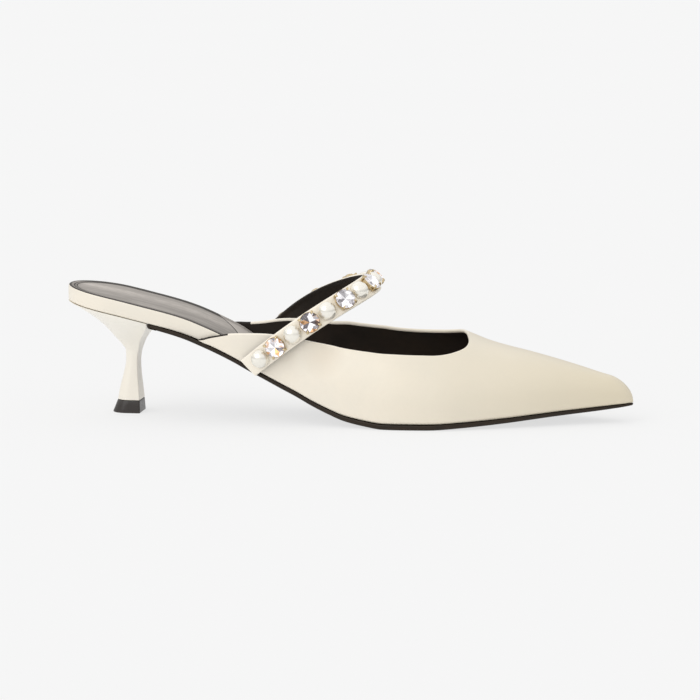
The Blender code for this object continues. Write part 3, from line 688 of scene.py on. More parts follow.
def sock_leather(looks):
    """Grey sock leather: painted shade darker towards the front and on the near side, painted sheen paler
    along streaks, dark at its turned edge and along the stitched channel, partly painted shade, with a
    slanted seam across the waist and a painted highlight on its lip."""
    made, tree, shader = new_material("sock leather", 0.55, specular=0.10)
    where = place(tree)
    x, y, _ = split(tree, where)
    streak = noise(tree, drawn_out(tree, where, (0.12, 1.0, 0.3)), 5*MM, 4.0, 0.6)
    rub = noise(tree, where, 4*MM, 5.0, 0.65)
    border = add(tree, "ShaderNodeAttribute", attribute_name="border").outputs["Fac"]
    # Painted shade: darker towards the front
    tone = blend(tree, spread(tree, x, -22*MM, 48*MM, 0.0, 1.0), shade(looks.sock, 0.94),
                 shade(looks.sock, 0.72))

    def lay(amount, factor):
        nonlocal tone
        tone = blend(tree, amount, tone, shade(looks.sock, factor))

    # A paler streak down the middle as painted sheen, painted shade on the near side, paler streaks of
    # painted sheen and rubbed specks
    middle = spread(tree, apart(tree, y, 5*MM), 1*MM, 9*MM, 0.50, 0.0)
    lay(times(tree, middle, spread(tree, streak, 0.3, 0.6, 0.4, 1.0)), 1.55)
    lay(spread(tree, y, -22*MM, 3*MM, 0.60, 0.0), 0.55)
    lay(spread(tree, streak, 0.48, 0.70, 0.0, 0.50), 1.40)
    lay(spread(tree, rub, 0.42, 0.75, 0.0, 0.45), 0.74)
    # Painted shade darker towards the edge, most of all on the far side, and the lines round it, partly the
    # turned edge and stitch line and partly painted shade in the channels
    lay(spread(tree, border, 2.4, 5.0, 0.5, 0.0), 0.55)
    far = spread(tree, y, 6*MM, 15*MM, 0.0, 0.85)
    lay(times(tree, far, spread(tree, border, 2.6, 5.0, 1.0, 0.0)), 0.13)
    for middle, width in EDGE_AND_SHADE_LINES:
        lay(spread(tree, apart(tree, border, middle), width*0.6, width*1.4, 0.95, 0.0), 0.09)
    # The seam lies where x plus 0.47 y plus 9 y squared is WAIST_SEAM, with a painted highlight
    # ahead of it: a paler band and a bright lip
    ahead = maths(tree, "ADD", x, times(tree, y, 0.47))
    ahead = maths(tree, "ADD", ahead, times(tree, times(tree, y, y), 9.0))
    seam = spread(tree, apart(tree, ahead, WAIST_SEAM), 0.30*MM, 0.65*MM, 1.0, 0.0)
    lay(spread(tree, ahead, WAIST_SEAM + 0.1*MM, WAIST_SEAM + 0.4*MM, 0.0, 0.5), 1.35)
    lip = spread(tree, ahead, WAIST_SEAM + 0.1*MM, WAIST_SEAM + 1.3*MM, 1.0, 0.0)
    lay(times(tree, lip, spread(tree, ahead, WAIST_SEAM - 0.1*MM, WAIST_SEAM + 0.1*MM, 0.0, 0.7)), 1.9)
    lay(times(tree, seam, 0.9), 0.12)
    dip = bump(tree, maths(tree, "SUBTRACT", 1.0, seam), 0.25*MM)
    connect(tree, shader, tone, spread(tree, rub, 0.3, 0.7, 0.48, 0.62),
            leather_bump(tree, where, looks.grain_size, looks.grain_depth*1.3, dip))
    return made


def sole_edge(looks):
    """Dark stained sole: brushed along its edge, scuffed paler underneath."""
    made, tree, shader = new_material("sole leather", 0.48, specular=0.25, coat=0.05, coat_rough=0.3)
    where = place(tree)
    brushed = noise(tree, drawn_out(tree, where, (0.08, 1.0, 1.0)), 1.2*MM, 4.0, 0.6)
    scuff = noise(tree, where, 7*MM, 6.0, 0.7)
    tone = blend(tree, spread(tree, brushed, 0.3, 0.7, 0.0, 1.0), shade(looks.sole, 0.8),
                 shade(looks.sole, 1.5, 0.1))
    tone = blend(tree, spread(tree, scuff, 0.6, 0.9, 0.0, 0.5), tone, shade(looks.sole, 3.0, 0.1))
    height = maths(tree, "ADD", times(tree, brushed, 0.6), scuff)
    connect(tree, shader, tone, spread(tree, scuff, 0.3, 0.8, 0.36, 0.58), bump(tree, height, 0.04*MM))
    return made


def top_piece_rubber():
    """Moulded brown-black wearing piece, scratched near the floor."""
    made, tree, shader = new_material("top piece rubber", 0.40, specular=0.4, coat=0.4, coat_rough=0.18)
    where = place(tree)
    speck = noise(tree, where, 1.4*MM, 4.0, 0.6)
    worn = times(tree, spread(tree, split(tree, where)[2], 0.0, 1.6*MM, 1.0, 0.0), speck)
    tone = blend(tree, speck, (0.012, 0.008, 0.006), (0.024, 0.017, 0.013))
    tone = blend(tree, spread(tree, worn, 0.35, 0.6, 0.0, 0.5), tone, (0.16, 0.13, 0.11))
    connect(tree, shader, tone, spread(tree, speck, 0.3, 0.7, 0.38, 0.52), bump(tree, speck, 0.05*MM))
    return made


def thread_material():
    """Waxed dark thread, a little lighter on its high strands."""
    made, tree, shader = new_material("sock thread", 0.6)
    strand = noise(tree, place(tree), 0.3*MM, 2.0, 0.5)
    tone = blend(tree, strand, (0.030, 0.026, 0.024), (0.085, 0.078, 0.072))
    connect(tree, shader, tone, normal=bump(tree, strand, 0.03*MM))
    return made


def pearl_lustre(looks):
    """Pearl: milky, faintly metallic body with cloudy layers, a green to pink play towards its
    rim and a glassy skin."""
    made, tree, shader = new_material("pearl lustre", 0.21, metal=0.50, specular=0.7, coat=1.0,
                                      coat_rough=0.04)
    where = place(tree)
    cloud = noise(tree, where, 3.0*MM, 3.0, 0.5)
    rim = add(tree, "ShaderNodeLayerWeight", {"Blend": 0.35}).outputs["Facing"]
    body = blend(tree, cloud, shade(looks.pearl, 0.97), shade(looks.pearl, 1.08))
    play = blend(tree, cloud, (0.78, 0.82, 0.70), (0.93, 0.84, 0.77))
    tone = blend(tree, spread(tree, rim, 0.15, 0.9, 0.0, 0.6), body, play)
    connect(tree, shader, tone, normal=bump(tree, noise(tree, where, 1.2*MM, 2.0, 0.5), 0.02*MM))
    return made


def cut_crystal():
    """Clear cut stone with a trace of bubbles and polish marks."""
    made, tree, shader = new_material("cut crystal", 0.02, specular=0.6)
    shader.inputs["Transmission Weight"].default_value = 1.0
    shader.inputs["IOR"].default_value = 1.56
    polish = noise(tree, place(tree), 0.8*MM, 3.0, 0.6)
    tone = blend(tree, polish, (0.97, 0.97, 0.98), (1.0, 1.0, 1.0))
    connect(tree, shader, tone, spread(tree, polish, 0.3, 0.8, 0.01, 0.05))
    return made


def foil_back():
    """Silvered back of a cut stone with painted reflections: each facet has its own painted reflection tone,
    most near white, some grey or dark, and a few amber, and the foil glows faintly as painted glints."""
    made, tree, shader = new_material("stone foil", 0.07, metal=0.85)
    facet = add(tree, "ShaderNodeAttribute", attribute_name="facet").outputs["Fac"]
    cloud = noise(tree, place(tree), 1.5*MM, 2.0, 0.5)
    # Painted reflections: each facet's tone stands in for what it reflects, with a few amber ones
    tone = blend(tree, spread(tree, facet, 0.08, 0.34, 0.0, 1.0), (0.10, 0.085, 0.095), (1.0, 0.985, 1.0))
    amber = spread(tree, apart(tree, facet, AMBER_REFLECTION_TONE), 0.04, 0.06, 1.0, 0.0)
    tone = blend(tree, amber, tone, (0.80, 0.42, 0.16))
    tone = blend(tree, spread(tree, cloud, 0.3, 0.8, 0.0, 0.12), tone, (0.74, 0.68, 0.74))
    # Painted glints: the foil glows in its own tone
    tree.links.new(tone, shader.inputs["Emission Color"])
    shader.inputs["Emission Strength"].default_value = FOIL_GLINT_GLOW
    connect(tree, shader, tone)
    return made


def gilt_metal(looks):
    """Polished gilt: slightly uneven plating with tiny scratches."""
    made, tree, shader = new_material("gilt metal", 0.22, metal=1.0)
    where = place(tree)
    plate = noise(tree, where, 2.0*MM, 4.0, 0.6)
    connect(tree, shader, blend(tree, plate, shade(looks.gilt, 0.82), shade(looks.gilt, 1.08)),
            spread(tree, plate, 0.3, 0.7, 0.16, 0.32), bump(tree, noise(tree, where, 0.5*MM, 3.0), 0.02*MM))
    return made


def material(name, maker, *values):
    """The named material, made once; its name keeps apart from the frame's plain ones."""
    return bpy.data.materials.get(f"{name} finish") or maker(*values)


def leather(looks):
    """Cream leather of the upper and the rand."""
    return material("cream leather", cream_leather, "cream leather", tuple(looks.leather), looks, 0.40,
                    DIMPLE_SHADE_SPOT)


def fold_leather(looks):
    """The same leather where it turns over the upper's edge: smoother, and painted lighter as a painted
    highlight along the edge.
    """
    return material("folded edge", cream_leather, "folded edge", shade(looks.leather, 1.07), looks, 0.32)


def strap_leather(looks):
    """The same leather on the strap, painted a little lighter as painted light."""
    return material("strap leather", cream_leather, "strap leather", shade(looks.leather, 1.09), looks, 0.36)


def lining(looks):
    """Lining of the upper and the strap."""
    return material("lining leather", dark_lining, looks)


def crease_depth(s, climb, side):
    """Sum of slanted, smooth-sided troughs (Gaussian in both directions) at a point."""
    total = np.zeros(np.broadcast(s, climb).shape)
    height, _ = crest(s)
    for trough_side, share, up, long, tall, slant, depth in CREASES:
        if trough_side != side:
            continue
        u = s - share*SHOE_LENGTH
        v = (climb - up)*1.3*height
        turn = math.radians(slant)
        a, b = u*math.cos(turn) + v*math.sin(turn), v*math.cos(turn) - u*math.sin(turn)
        total = total + depth*np.exp(-(a/long)**2 - (b/tall)**2)
    return total


def upper_side(side, inset):
    """Distances along the shoe and shares of the climb over one side of the upper's skin:
    ribs run from the feather line to the top edge and, ahead of the throat, to the crest."""
    foot = np.linspace(TOPLINE[side][0][0], TOPLINE[side][-1][0], EDGE_RIBS)*SHOE_LENGTH
    head = read(TOPLINE[side], foot/SHOE_LENGTH, 1)*SHOE_LENGTH
    climb = read(TOPLINE[side], foot/SHOE_LENGTH, 2)
    end = SHOE_LENGTH - TIP_INSET*inset - 0.01*MM
    ahead = np.sin(np.linspace(0, math.pi/2, VAMP_RIBS + 1)[1:])
    foot = np.concatenate([foot, foot[-1] + (end - foot[-1])*ahead])
    head = np.concatenate([head, head[-1] + (end - head[-1])*ahead])
    climb = np.concatenate([climb, np.ones(VAMP_RIBS)])
    t = np.linspace(0, 1, SKIN_ROWS)
    return foot[:, None] + (head - foot)[:, None]*t, climb[:, None]*t


def skin_normal(s, climb, side, inset):
    """Outward direction of the last at a point, from steps along the shoe and up it."""
    step = 0.05*MM
    climb = np.clip(climb, 0.01, 0.985)
    by_s = last_surface(s + step, climb, side, inset) - last_surface(s - step, climb, side, inset)
    by_climb = last_surface(s, climb + 0.005, side, inset) - last_surface(s, climb - 0.005, side, inset)
    return unit(np.cross(by_s, by_climb))*-side


def upper_skins(inset):
    """Both sides of one skin, pressed in by the creases and turned under at the sole. Near the
    top edge each point draws back along the leather, by the fold's radius at the edge itself
    and less further down, to make room for the rounded fold."""
    grids, edges, backs = {}, {}, {}
    for side in (LATERAL, MEDIAL):
        s, rise = upper_side(side, inset)
        points = last_surface(s, rise, side, inset)
        normal = skin_normal(s, rise, side, inset)
        edge = points[:EDGE_RIBS, -1]
        back = unit(np.cross(np.gradient(edge, axis=0), normal[:EDGE_RIBS, -1]))
        back *= np.sign((back*(points[:EDGE_RIBS, -6] - edge)).sum(-1).sum())
        tall = np.linalg.norm(edge - points[:EDGE_RIBS, 0], axis=-1)
        back *= np.minimum(FOLD_RADIUS, 0.4*tall)[:, None]
        if inset == 0.0:
            above = points[..., 2] - feather(s)
            tuck = LASTED_RADIUS*(1 - rounded(above, LASTED_RADIUS))
            points[..., 1] -= side*np.minimum(tuck, 0.4*np.abs(points[..., 1]))
        fade = np.clip(rise*6, 0, 1)*np.clip((1 - rise)*6, 0, 1)
        points = points - normal*(crease_depth(s, rise, side)*fade)[..., None]
        for row in (points, edge):
            row[..., 1] *= UPPER_EASE
        grids[side], edges[side], backs[side] = points, edge, back
    rim = np.concatenate([edges[LATERAL], edges[MEDIAL]])
    draw = np.concatenate([backs[LATERAL], backs[MEDIAL]])
    for side in (LATERAL, MEDIAL):
        points = grids[side]
        flat = points.reshape(-1, 3)
        apart = np.sqrt(((flat[:, None] - rim[None])**2).sum(-1))
        share = np.clip(1 - apart.min(1)/(5*FOLD_RADIUS), 0, 1)
        grids[side] = (flat + draw[apart.argmin(1)]*share[:, None]).reshape(points.shape)
    return grids, backs


class MULE_OT_upper(bpy.types.Operator):
    """Builds the cream upper with its folded top edge and black lining"""

    bl_idname = "mule.upper"
    bl_label = "Upper"

    def execute(self, context):
        looks = context.scene.mule_looks
        points, faces, slots, count = [], [], [], 0

        def keep(block, slot):
            nonlocal count
            points.append(block.reshape(-1, 3))
            faces.append(grid_faces(*block.shape[:2], first=count))
            slots.append(np.full(len(faces[-1]), slot) if np.isscalar(slot) else slot)
            count += block.shape[0]*block.shape[1]

        outer, backs = upper_skins(0.0)
        inner, _ = upper_skins(WALL)
        for slot, skin in ((0, outer), (1, inner)):
            skin[MEDIAL][EDGE_RIBS - 1:, -1] = skin[LATERAL][EDGE_RIBS - 1:, -1]
            keep(skin[LATERAL], slot)
            keep(skin[MEDIAL], slot)
            keep(np.stack([skin[LATERAL][-1], skin[MEDIAL][-1]], axis=1), slot)
        turn = np.linspace(0, math.pi, 11)[None, :, None]
        for side in (LATERAL, MEDIAL):
            top_out, top_in = outer[side][:EDGE_RIBS, -1], inner[side][:EDGE_RIBS, -1]
            middle, across = (top_out + top_in)/2, (top_out - top_in)/2
            lift = unit(np.cross(np.gradient(middle, axis=0), across))
            lift *= -np.sign((lift*backs[side]).sum(-1, keepdims=True))
            tall = np.linalg.norm(top_out - outer[side][:EDGE_RIBS, 0], axis=-1, keepdims=True)
            lift *= np.minimum(np.linalg.norm(across, axis=-1, keepdims=True), 0.6*tall)
            # Beside the rand the fold shows the dark edge of the lining, a painted shadow line along the gap
            # to the rand
            seam = np.arange(EDGE_RIBS - 1) < EDGE_RIBS*WING_LINING_SHADOW[side]
            keep(middle[:, None] + across[:, None]*np.cos(turn) + lift[:, None]*np.sin(turn),
                 np.repeat(np.where(seam, 1, 2), 10))
            keep(np.stack([outer[side][:, 0], inner[side][:, 0]], axis=1), 0)
            keep(np.stack([outer[side][0], inner[side][0]], axis=1), 0)
        made = piece("upper_leather", np.concatenate(points), np.concatenate(faces),
                     [leather(looks), lining(looks), fold_leather(looks)], np.concatenate(slots), sharp=50)
        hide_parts("upper")
        return {"FINISHED"}


class MULE_OT_sole(bpy.types.Operator):
    """Builds the thin dark sole with its rounded edge"""

    bl_idname = "mule.sole"
    bl_label = "Sole"

    def execute(self, context):
        looks = context.scene.mule_looks
        # Inset (mm) and share of the thickness, from the underside round the edge to the top
        edge = [(4.0, 0.0), (1.3, 0.0), (0.85, 0.02), (0.45, 0.10), (0.16, 0.26), (0.02, 0.46),
                (0.0, 0.62), (0.03, 0.80), (0.14, 0.93), (0.34, 1.0), (2.0, 1.0)]
        along = np.linspace(0, 1, len(edge))
        fine = np.linspace(0, 1, 31)
        inset_mm = ease(fine, along, [row[0] for row in edge])
        share = ease(fine, along, [row[1] for row in edge])

        def profile(s):
            return (np.broadcast_to(inset_mm*MM, (len(s), len(fine))),
                    lambda at: underside(at) + (feather(at) - GAP - underside(at))*share)

        s = steps(BREAST_REACH + GAP, SHOE_LENGTH - 0.02*MM, 240, end_round=TOE_ROUND)
        points, faces = edged_slab(s, half_width, profile)
        made = piece("sole_leather", points, faces, [material("sole leather", sole_edge, looks)], sharp=50)
        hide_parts("outsole")
        return {"FINISHED"}


def heel_outline(back, breast, half, corner):
    """D shape: flat breast, small rounded corners, straight sides and an elliptical back."""
    depth = breast - back
    radius = min(half, 0.85*depth)
    corner = min(corner, 0.3*half)
    turn = np.linspace(0, math.pi/2, 6)
    x = [np.full(5, breast), breast - corner*(1 - np.cos(turn)),
         np.linspace(breast - corner, back + radius, 8)[1:-1],
         back + radius*(1 - np.sin(np.linspace(0, math.pi/2, 24)))]
    y = [np.linspace(0, half - corner, 6)[:-1], half - corner*(1 - np.sin(turn)),
         np.full(6, half), half*np.cos(np.linspace(0, math.pi/2, 24))]
    x, y = np.concatenate(x), np.concatenate(y)
    y[-1] = 0.0
    return np.concatenate([x, x[1:-1][::-1]]), np.concatenate([y, -y[1:-1][::-1]])


def heel_sections():
    """The heel's own sections as rings, the last one cut to the seat's slope."""
    height = SOLE_THICKNESS + SEAT_RISE
    rings = []
    for k, row in enumerate(HEEL_SECTIONS):
        back, breast = row[2]*SEAT_SETBACK, row[3]*SEAT_SETBACK
        x, y = heel_outline(back, breast, row[4]*SEAT_WIDTH, 0.45*MM)
        z = height*(row[0] + (row[1] - row[0])*(x - back)/(breast - back))
        if k == 0:
            z = np.full_like(x, TOP_PIECE_HEIGHT + GAP)
        rings.append(np.stack([x, y, z], axis=-1))
    x, y = heel_outline(-SEAT_SETBACK, BREAST_REACH - SEAT_SETBACK, SEAT_WIDTH/2, 0.45*MM)
    rings.append(np.stack([x, y, feather(x + SEAT_SETBACK) - GAP], axis=-1))
    return np.array(rings)


class MULE_OT_heel(bpy.types.Operator):
    """Builds the covered heel and its top piece"""

    bl_idname = "mule.heel"
    bl_label = "Heel"

    def execute(self, context):
        looks = context.scene.mule_looks
        sections = heel_sections()
        rise = sections[:, :, 2].mean(1)
        along = np.concatenate([[0], np.cumsum(np.abs(np.diff(rise)) + 0.4*MM)])
        rings = ease(np.linspace(0, along[-1], 130), along, sections)
        points, faces = rings_piece(rings)
        # The heel cover's lighter colour is painted light
        cover = material("heel leather", cream_leather, "heel leather", tuple(looks.heel_leather), looks,
                         0.36)
        made = piece("heel_cover", points, faces, [cover], sharp=50)
        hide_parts("heel")

        first = HEEL_SECTIONS[0]
        top = heel_outline(first[2]*SEAT_SETBACK, first[3]*SEAT_SETBACK, first[4]*SEAT_WIDTH, 0.4*MM)
        foot = heel_outline(-TOP_PIECE_LENGTH/2, TOP_PIECE_LENGTH/2, TOP_PIECE_WIDTH/2, 0.5*MM)
        top, foot = np.stack(top, axis=-1), np.stack(foot, axis=-1)
        # Share of the height, and how far the rounded rims draw in
        steps_up = [(0.0, 0.94), (0.0, 0.975), (0.025, 0.993), (0.07, 1.0), (0.3, 1.0), (0.6, 1.0),
                    (0.93, 1.0), (0.975, 0.99), (1.0, 0.965), (1.0, 0.9)]
        rings = []
        for share, draw in steps_up:
            flat = foot + (top - foot)*share
            centre = flat.mean(0)
            flat = centre + (flat - centre)*draw
            rings.append(np.column_stack([flat, np.full(len(flat), share*TOP_PIECE_HEIGHT)]))
        points, faces = rings_piece(np.array(rings))
        rubber = material("top piece rubber", top_piece_rubber)
        made = piece("heel_top_piece", points, faces, [rubber], sharp=40)
        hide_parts("top_piece")
        return {"FINISHED"}


def board_top(s):
    """Height of the board's upper face above the feather line."""
    share = s/SHOE_LENGTH
    return np.maximum(RAND_HEIGHT*read(BOARD, share, 1), BOARD_THICKNESS*read(BOARD, share, 2))


def board_half(s, side, more=0.0):
    """Half-width of the board, less a margin, closed at both ends."""
    inside = WALL + BOARD_CLEARANCE
    share = s/SHOE_LENGTH
    width = read(PLAN, share, 2 if side == LATERAL else 3, 1) - inside*read(BOARD, share, 3) - more
    back = rounded(s - more, SEAT_WIDTH/2 - more)
    front = rounded(SHOE_LENGTH - TIP_INSET*(inside + more) - s, TOE_ROUND + more)
    return np.maximum(width, 0.05*MM)*back*front


def sock_bed(s):
    """Depth of the sock's bed below the board's rim; it runs out inside the upper."""
    return SOCK_RECESS*read(BOARD, s/SHOE_LENGTH, 1)


class MULE_OT_board(bpy.types.Operator):
    """Builds the leather-wrapped insole board whose edge is the rand"""

    bl_idname = "mule.board"
    bl_label = "Board and rand"

    def execute(self, context):
        looks = context.scene.mule_looks

        def profile(s):
            turn = np.linspace(0, math.pi/2, 7)
            corner = np.minimum(0.7*MM, 0.3*board_top(s))[:, None]
            deep = np.full((len(s), 1), 3*MM)
            rim = np.maximum(RIM_WIDTH, corner)
            # Lower corner, slightly bellied side, upper corner, rim and the sock's bed
            insets = np.concatenate([deep, RAND_BELLY + corner*(1 - np.sin(turn)), np.zeros((len(s), 3)),
                                     RAND_BELLY + corner*(1 - np.cos(turn)), rim*0.97, rim*1.02,
                                     rim + 1.5*MM], axis=1)

            def height(at):
                top = board_top(at)
                up = np.zeros_like(at)
                up[:, 1:8] = corner*(1 - np.cos(turn))
                up[:, 8:11] = corner + (top[:, 8:11] - 2*corner)*[0.25, 0.5, 0.75]
                up[:, 11:18] = top[:, 11:18] - corner*(1 - np.sin(turn))
                up[:, 18] = top[:, 18]
                up[:, 19:] = (top - sock_bed(at))[:, 19:]
                return feather(at) + up
            return insets, height

        end = SHOE_LENGTH - TIP_INSET*(WALL + BOARD_CLEARANCE) - 0.1*MM
        s = steps(0.0, end, 260, start_round=SEAT_WIDTH/2, end_round=TOE_ROUND)
        points, faces = edged_slab(s, board_half, profile)
        made = piece("rand_leather", points, faces, [leather(looks)], sharp=50)
        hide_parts("footbed")
        return {"FINISHED"}


def sock_half(s, side):
    """Half-width of the sock, inside the board's rim."""
    return board_half(s, side, SOCK_MARGIN)


def sock_height(s):
    """Height of the sock's upper face."""
    return feather(s) + board_top(s) - sock_bed(s) + GAP + SOCK_THICKNESS


class MULE_OT_sock(bpy.types.Operator):
    """Builds the grey sock and the stitches round its edge"""

    bl_idname = "mule.sock"
    bl_label = "Sock"

    def execute(self, context):
        looks = context.scene.mule_looks
        # Inset and height (mm) from the sock's edge: rolled edge, stitched channel, inner
        # channel and a barely padded middle
        edge = [(1.3, -1.0), (0.30, -1.0), (0.04, -0.80), (0.0, -0.30), (-0.05, -0.02), (-0.35, 0.04),
                (-0.62, 0.06), (-0.72, 0.16), (-0.66, 0.30), (-0.40, 0.38), (0.10, 0.40), (0.70, 0.36),
                (1.20, 0.28), (1.65, 0.10), (2.10, 0.26), (2.45, 0.24), (2.80, 0.08), (3.20, 0.18),
                (3.8, 0.20), (5.0, 0.20), (9.0, 0.20), (14.0, 0.20)]
        along = np.linspace(0, 1, len(edge))
        fine = np.linspace(0, 1, 85)
        inset = ease(fine, along, [row[0]*MM for row in edge])
        lift = ease(fine, along, [row[1]*MM for row in edge])

        def profile(s):
            return np.broadcast_to(inset, (len(s), len(fine))), lambda at: sock_height(at) + lift

        start = SOCK_MARGIN
        end = SHOE_LENGTH - TIP_INSET*(WALL + BOARD_CLEARANCE + start) - 2.0*MM
        s = steps(start, end, 300, start_round=SEAT_WIDTH/2 - start, end_round=TOE_ROUND)
        points, faces = edged_slab(s, sock_half, profile)
        border = np.tile(inset/MM, 2*len(s))
        made = piece("sock_leather", points, faces, [material("sock leather", sock_leather, looks)], sharp=60,
                     marks={"border": border})
        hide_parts("sock")
        stitched = self.stitches()
        return {"FINISHED"}

    def stitches(self):
        """Short capsules of thread, a pitch apart, along the sock's channel."""
        start = SOCK_MARGIN
        reach = 0.44*SHOE_LENGTH
        s = steps(start, reach, 400, start_round=SEAT_WIDTH/2 - start)
        lateral = np.stack([s - SEAT_SETBACK, -sock_half(s, LATERAL)], axis=-1)[::-1]
        medial = np.stack([s - SEAT_SETBACK, sock_half(s, MEDIAL)], axis=-1)
        line = np.concatenate([lateral, medial[1:]])
        ahead = np.gradient(line, axis=0)
        inward = unit(np.stack([-ahead[:, 1], ahead[:, 0]], axis=-1))
        inward *= np.sign((inward*(np.array([30*MM, 0]) - line)).sum(-1, keepdims=True))
        line = line + STITCH_INSET*inward
        height = sock_height(np.clip(line[:, 0] + SEAT_SETBACK, start, None)) - 0.02*MM
        line = np.column_stack([line, height])
        travelled = np.concatenate([[0], np.cumsum(np.linalg.norm(np.diff(line, axis=0), axis=1))])
        count = int(travelled[-1]/STITCH_PITCH)
        t = np.linspace(-0.5, 0.5, 7)
        at = (np.arange(count)[:, None] + 0.5)*STITCH_PITCH + t[None]*STITCH_LENGTH
        path = np.stack([np.interp(at, travelled, line[:, k]) for k in range(3)], axis=-1)
        path[..., 2] += THREAD_WIDTH*0.30*(1 - (2*t)**2)
        thick = THREAD_WIDTH/2*np.sqrt(1 - (1.8*t)**2 + 0.02)
        parts = [rings_piece(tube(p, thick, 8)) for p in path]
        return piece("sock_stitches", *joined(parts), [material("sock thread", thread_material)])


def strap_edge(name, turn):
    """Point on one edge of the strap; turn goes from 0 lateral to pi medial."""
    lateral_foot, crown, medial_foot = (np.array(point) for point in STRAP_EDGES[name])
    rise = np.abs(np.sin(turn))**(2/STRAP_FULLNESS)
    swing = np.sign(np.cos(turn))*np.abs(np.cos(turn))**(2/STRAP_FULLNESS)
    near = swing > 0
    tuck = np.where(near, STRAP_TUCK[LATERAL], STRAP_TUCK[MEDIAL])*np.clip(1 - rise/STRAP_HUG, 0, 1)**1.5
    span = (np.where(near, STRAP_SPAN[LATERAL], STRAP_SPAN[MEDIAL]) - tuck)*WAIST_WIDTH
    foot = np.where(near[:, None], lateral_foot, medial_foot)*[SHOE_LENGTH, INSTEP_HEIGHT]
    climb = crown*[SHOE_LENGTH, INSTEP_HEIGHT] - foot
    upward = climb[:, ::-1]*[-1, 1]/np.linalg.norm(climb, axis=1, keepdims=True)
    bow = np.where(near, STRAP_BOW[LATERAL], STRAP_BOW[MEDIAL])*INSTEP_HEIGHT*np.sin(math.pi*rise)
    spot = foot + climb*rise[:, None] + upward*bow[:, None]
    return np.stack([spot[:, 0] - SEAT_SETBACK, -swing*span, spot[:, 1]], axis=-1)


def strap_frames(turn):
    """Middle of the band, its direction, its width direction and its outward side."""
    rear, front = strap_edge("rear", turn), strap_edge("front", turn)
    middle = (rear + front)/2
    step = 0.002
    ahead = (strap_edge("rear", turn + step) + strap_edge("front", turn + step))/2
    behind = (strap_edge("rear", turn - step) + strap_edge("front", turn - step))/2
    along = unit(ahead - behind)
    across = front - rear
    width = np.linalg.norm(across, axis=-1, keepdims=True)
    out = unit(np.cross(across, along))
    centre = np.array([middle[:, 0].mean(), 0.0, 10*MM])
    flip = np.sign(((middle - centre)*out).sum(-1).sum())
    return middle, along, across/width, out*flip, width


def even_turns(count, start, end):
    """Turns spaced evenly by length along the band."""
    fine = np.linspace(0.004, math.pi - 0.004, 1500)
    middle = strap_frames(fine)[0]
    travelled = np.concatenate([[0], np.cumsum(np.linalg.norm(np.diff(middle, axis=0), axis=1))])
    return np.interp(np.linspace(start, travelled[-1] - end, count), travelled, fine)


class MULE_OT_strap(bpy.types.Operator):
    """Builds the strap: cream leather folded over a black lining"""

    bl_idname = "mule.strap"
    bl_label = "Strap"

    def execute(self, context):
        looks = context.scene.mule_looks
        turn = even_turns(220, 0.0, 0.0)
        middle, along, across, out, width = strap_frames(turn)
        half = width[:, 0]/2
        r = 0.7*MM
        arc = np.linspace(0, math.pi/2, 7)
        # Offsets from the outer middle: across (from each edge inward) and depth below the face
        inward = np.concatenate([[4*MM, 2*MM], r*(1 - np.sin(arc)), [0.0], r*(1 - np.cos(arc)),
                                 [EDGE_FOLD, EDGE_FOLD + 0.15*MM, EDGE_FOLD + 0.3*MM, 3*MM]])
        depth = np.concatenate([[0.0, 0.0], r*(1 - np.cos(arc)), [STRAP_THICKNESS/2],
                                STRAP_THICKNESS - r*(1 - np.sin(arc)),
                                [STRAP_THICKNESS, STRAP_THICKNESS - 0.02*MM, STRAP_THICKNESS - 0.25*MM,
                                 STRAP_THICKNESS - 0.25*MM]])
        # The face swells very slightly between its edges
        depth = depth - np.where(depth < 0.01*MM, 0.15*MM*np.clip(inward/(4*MM), 0, 1), 0)
        front = half[:, None] - inward
        rear = -(half[:, None] - inward[::-1])
        offsets = np.concatenate([front, rear], axis=1)
        depths = np.concatenate([depth, depth[::-1]])
        rings = (middle[:, None] + across[:, None]*offsets[..., None] - out[:, None]*depths[None, :, None])
        points, faces = rings_piece(rings)
        # The underside, from just past the middle of each edge, is lining
        slot = np.zeros(rings.shape[1], int)
        slot[11:-12] = 1
        slots = np.tile(slot, len(rings) + 1)
        made = piece("strap_leather", points, faces, [strap_leather(looks), lining(looks)], slots, sharp=60)
        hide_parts("strap")
        return {"FINISHED"}


def stone_places():
    """Where each stone sits: place on the band's face, then its three directions."""
    turn = even_turns(STONE_COUNT, STONE_START, STONE_START)
    middle, along, across, out, _ = strap_frames(turn)
    across = unit(across - along*(across*along).sum(-1, keepdims=True))
    return middle, along, across, out


def set_on_strap(points, k, lift):
    """Points made round a stone's own axis, moved to the k-th place on the band."""
    middle, along, across, out = stone_places()
    points = np.asarray(points, float)
    return (middle[k] + points[..., :1]*along[k] + points[..., 1:2]*across[k]
            + (points[..., 2:] + lift)*out[k])


def turned_rings(radii, heights, sides=48):
    """A profile turned about the upright axis: one ring of points for each of its rows."""
    turn = np.linspace(0, 2*math.pi, sides, endpoint=False)
    return np.stack([radii[:, None]*np.cos(turn), radii[:, None]*np.sin(turn),
                     np.repeat(heights[:, None], sides, 1)], axis=-1)


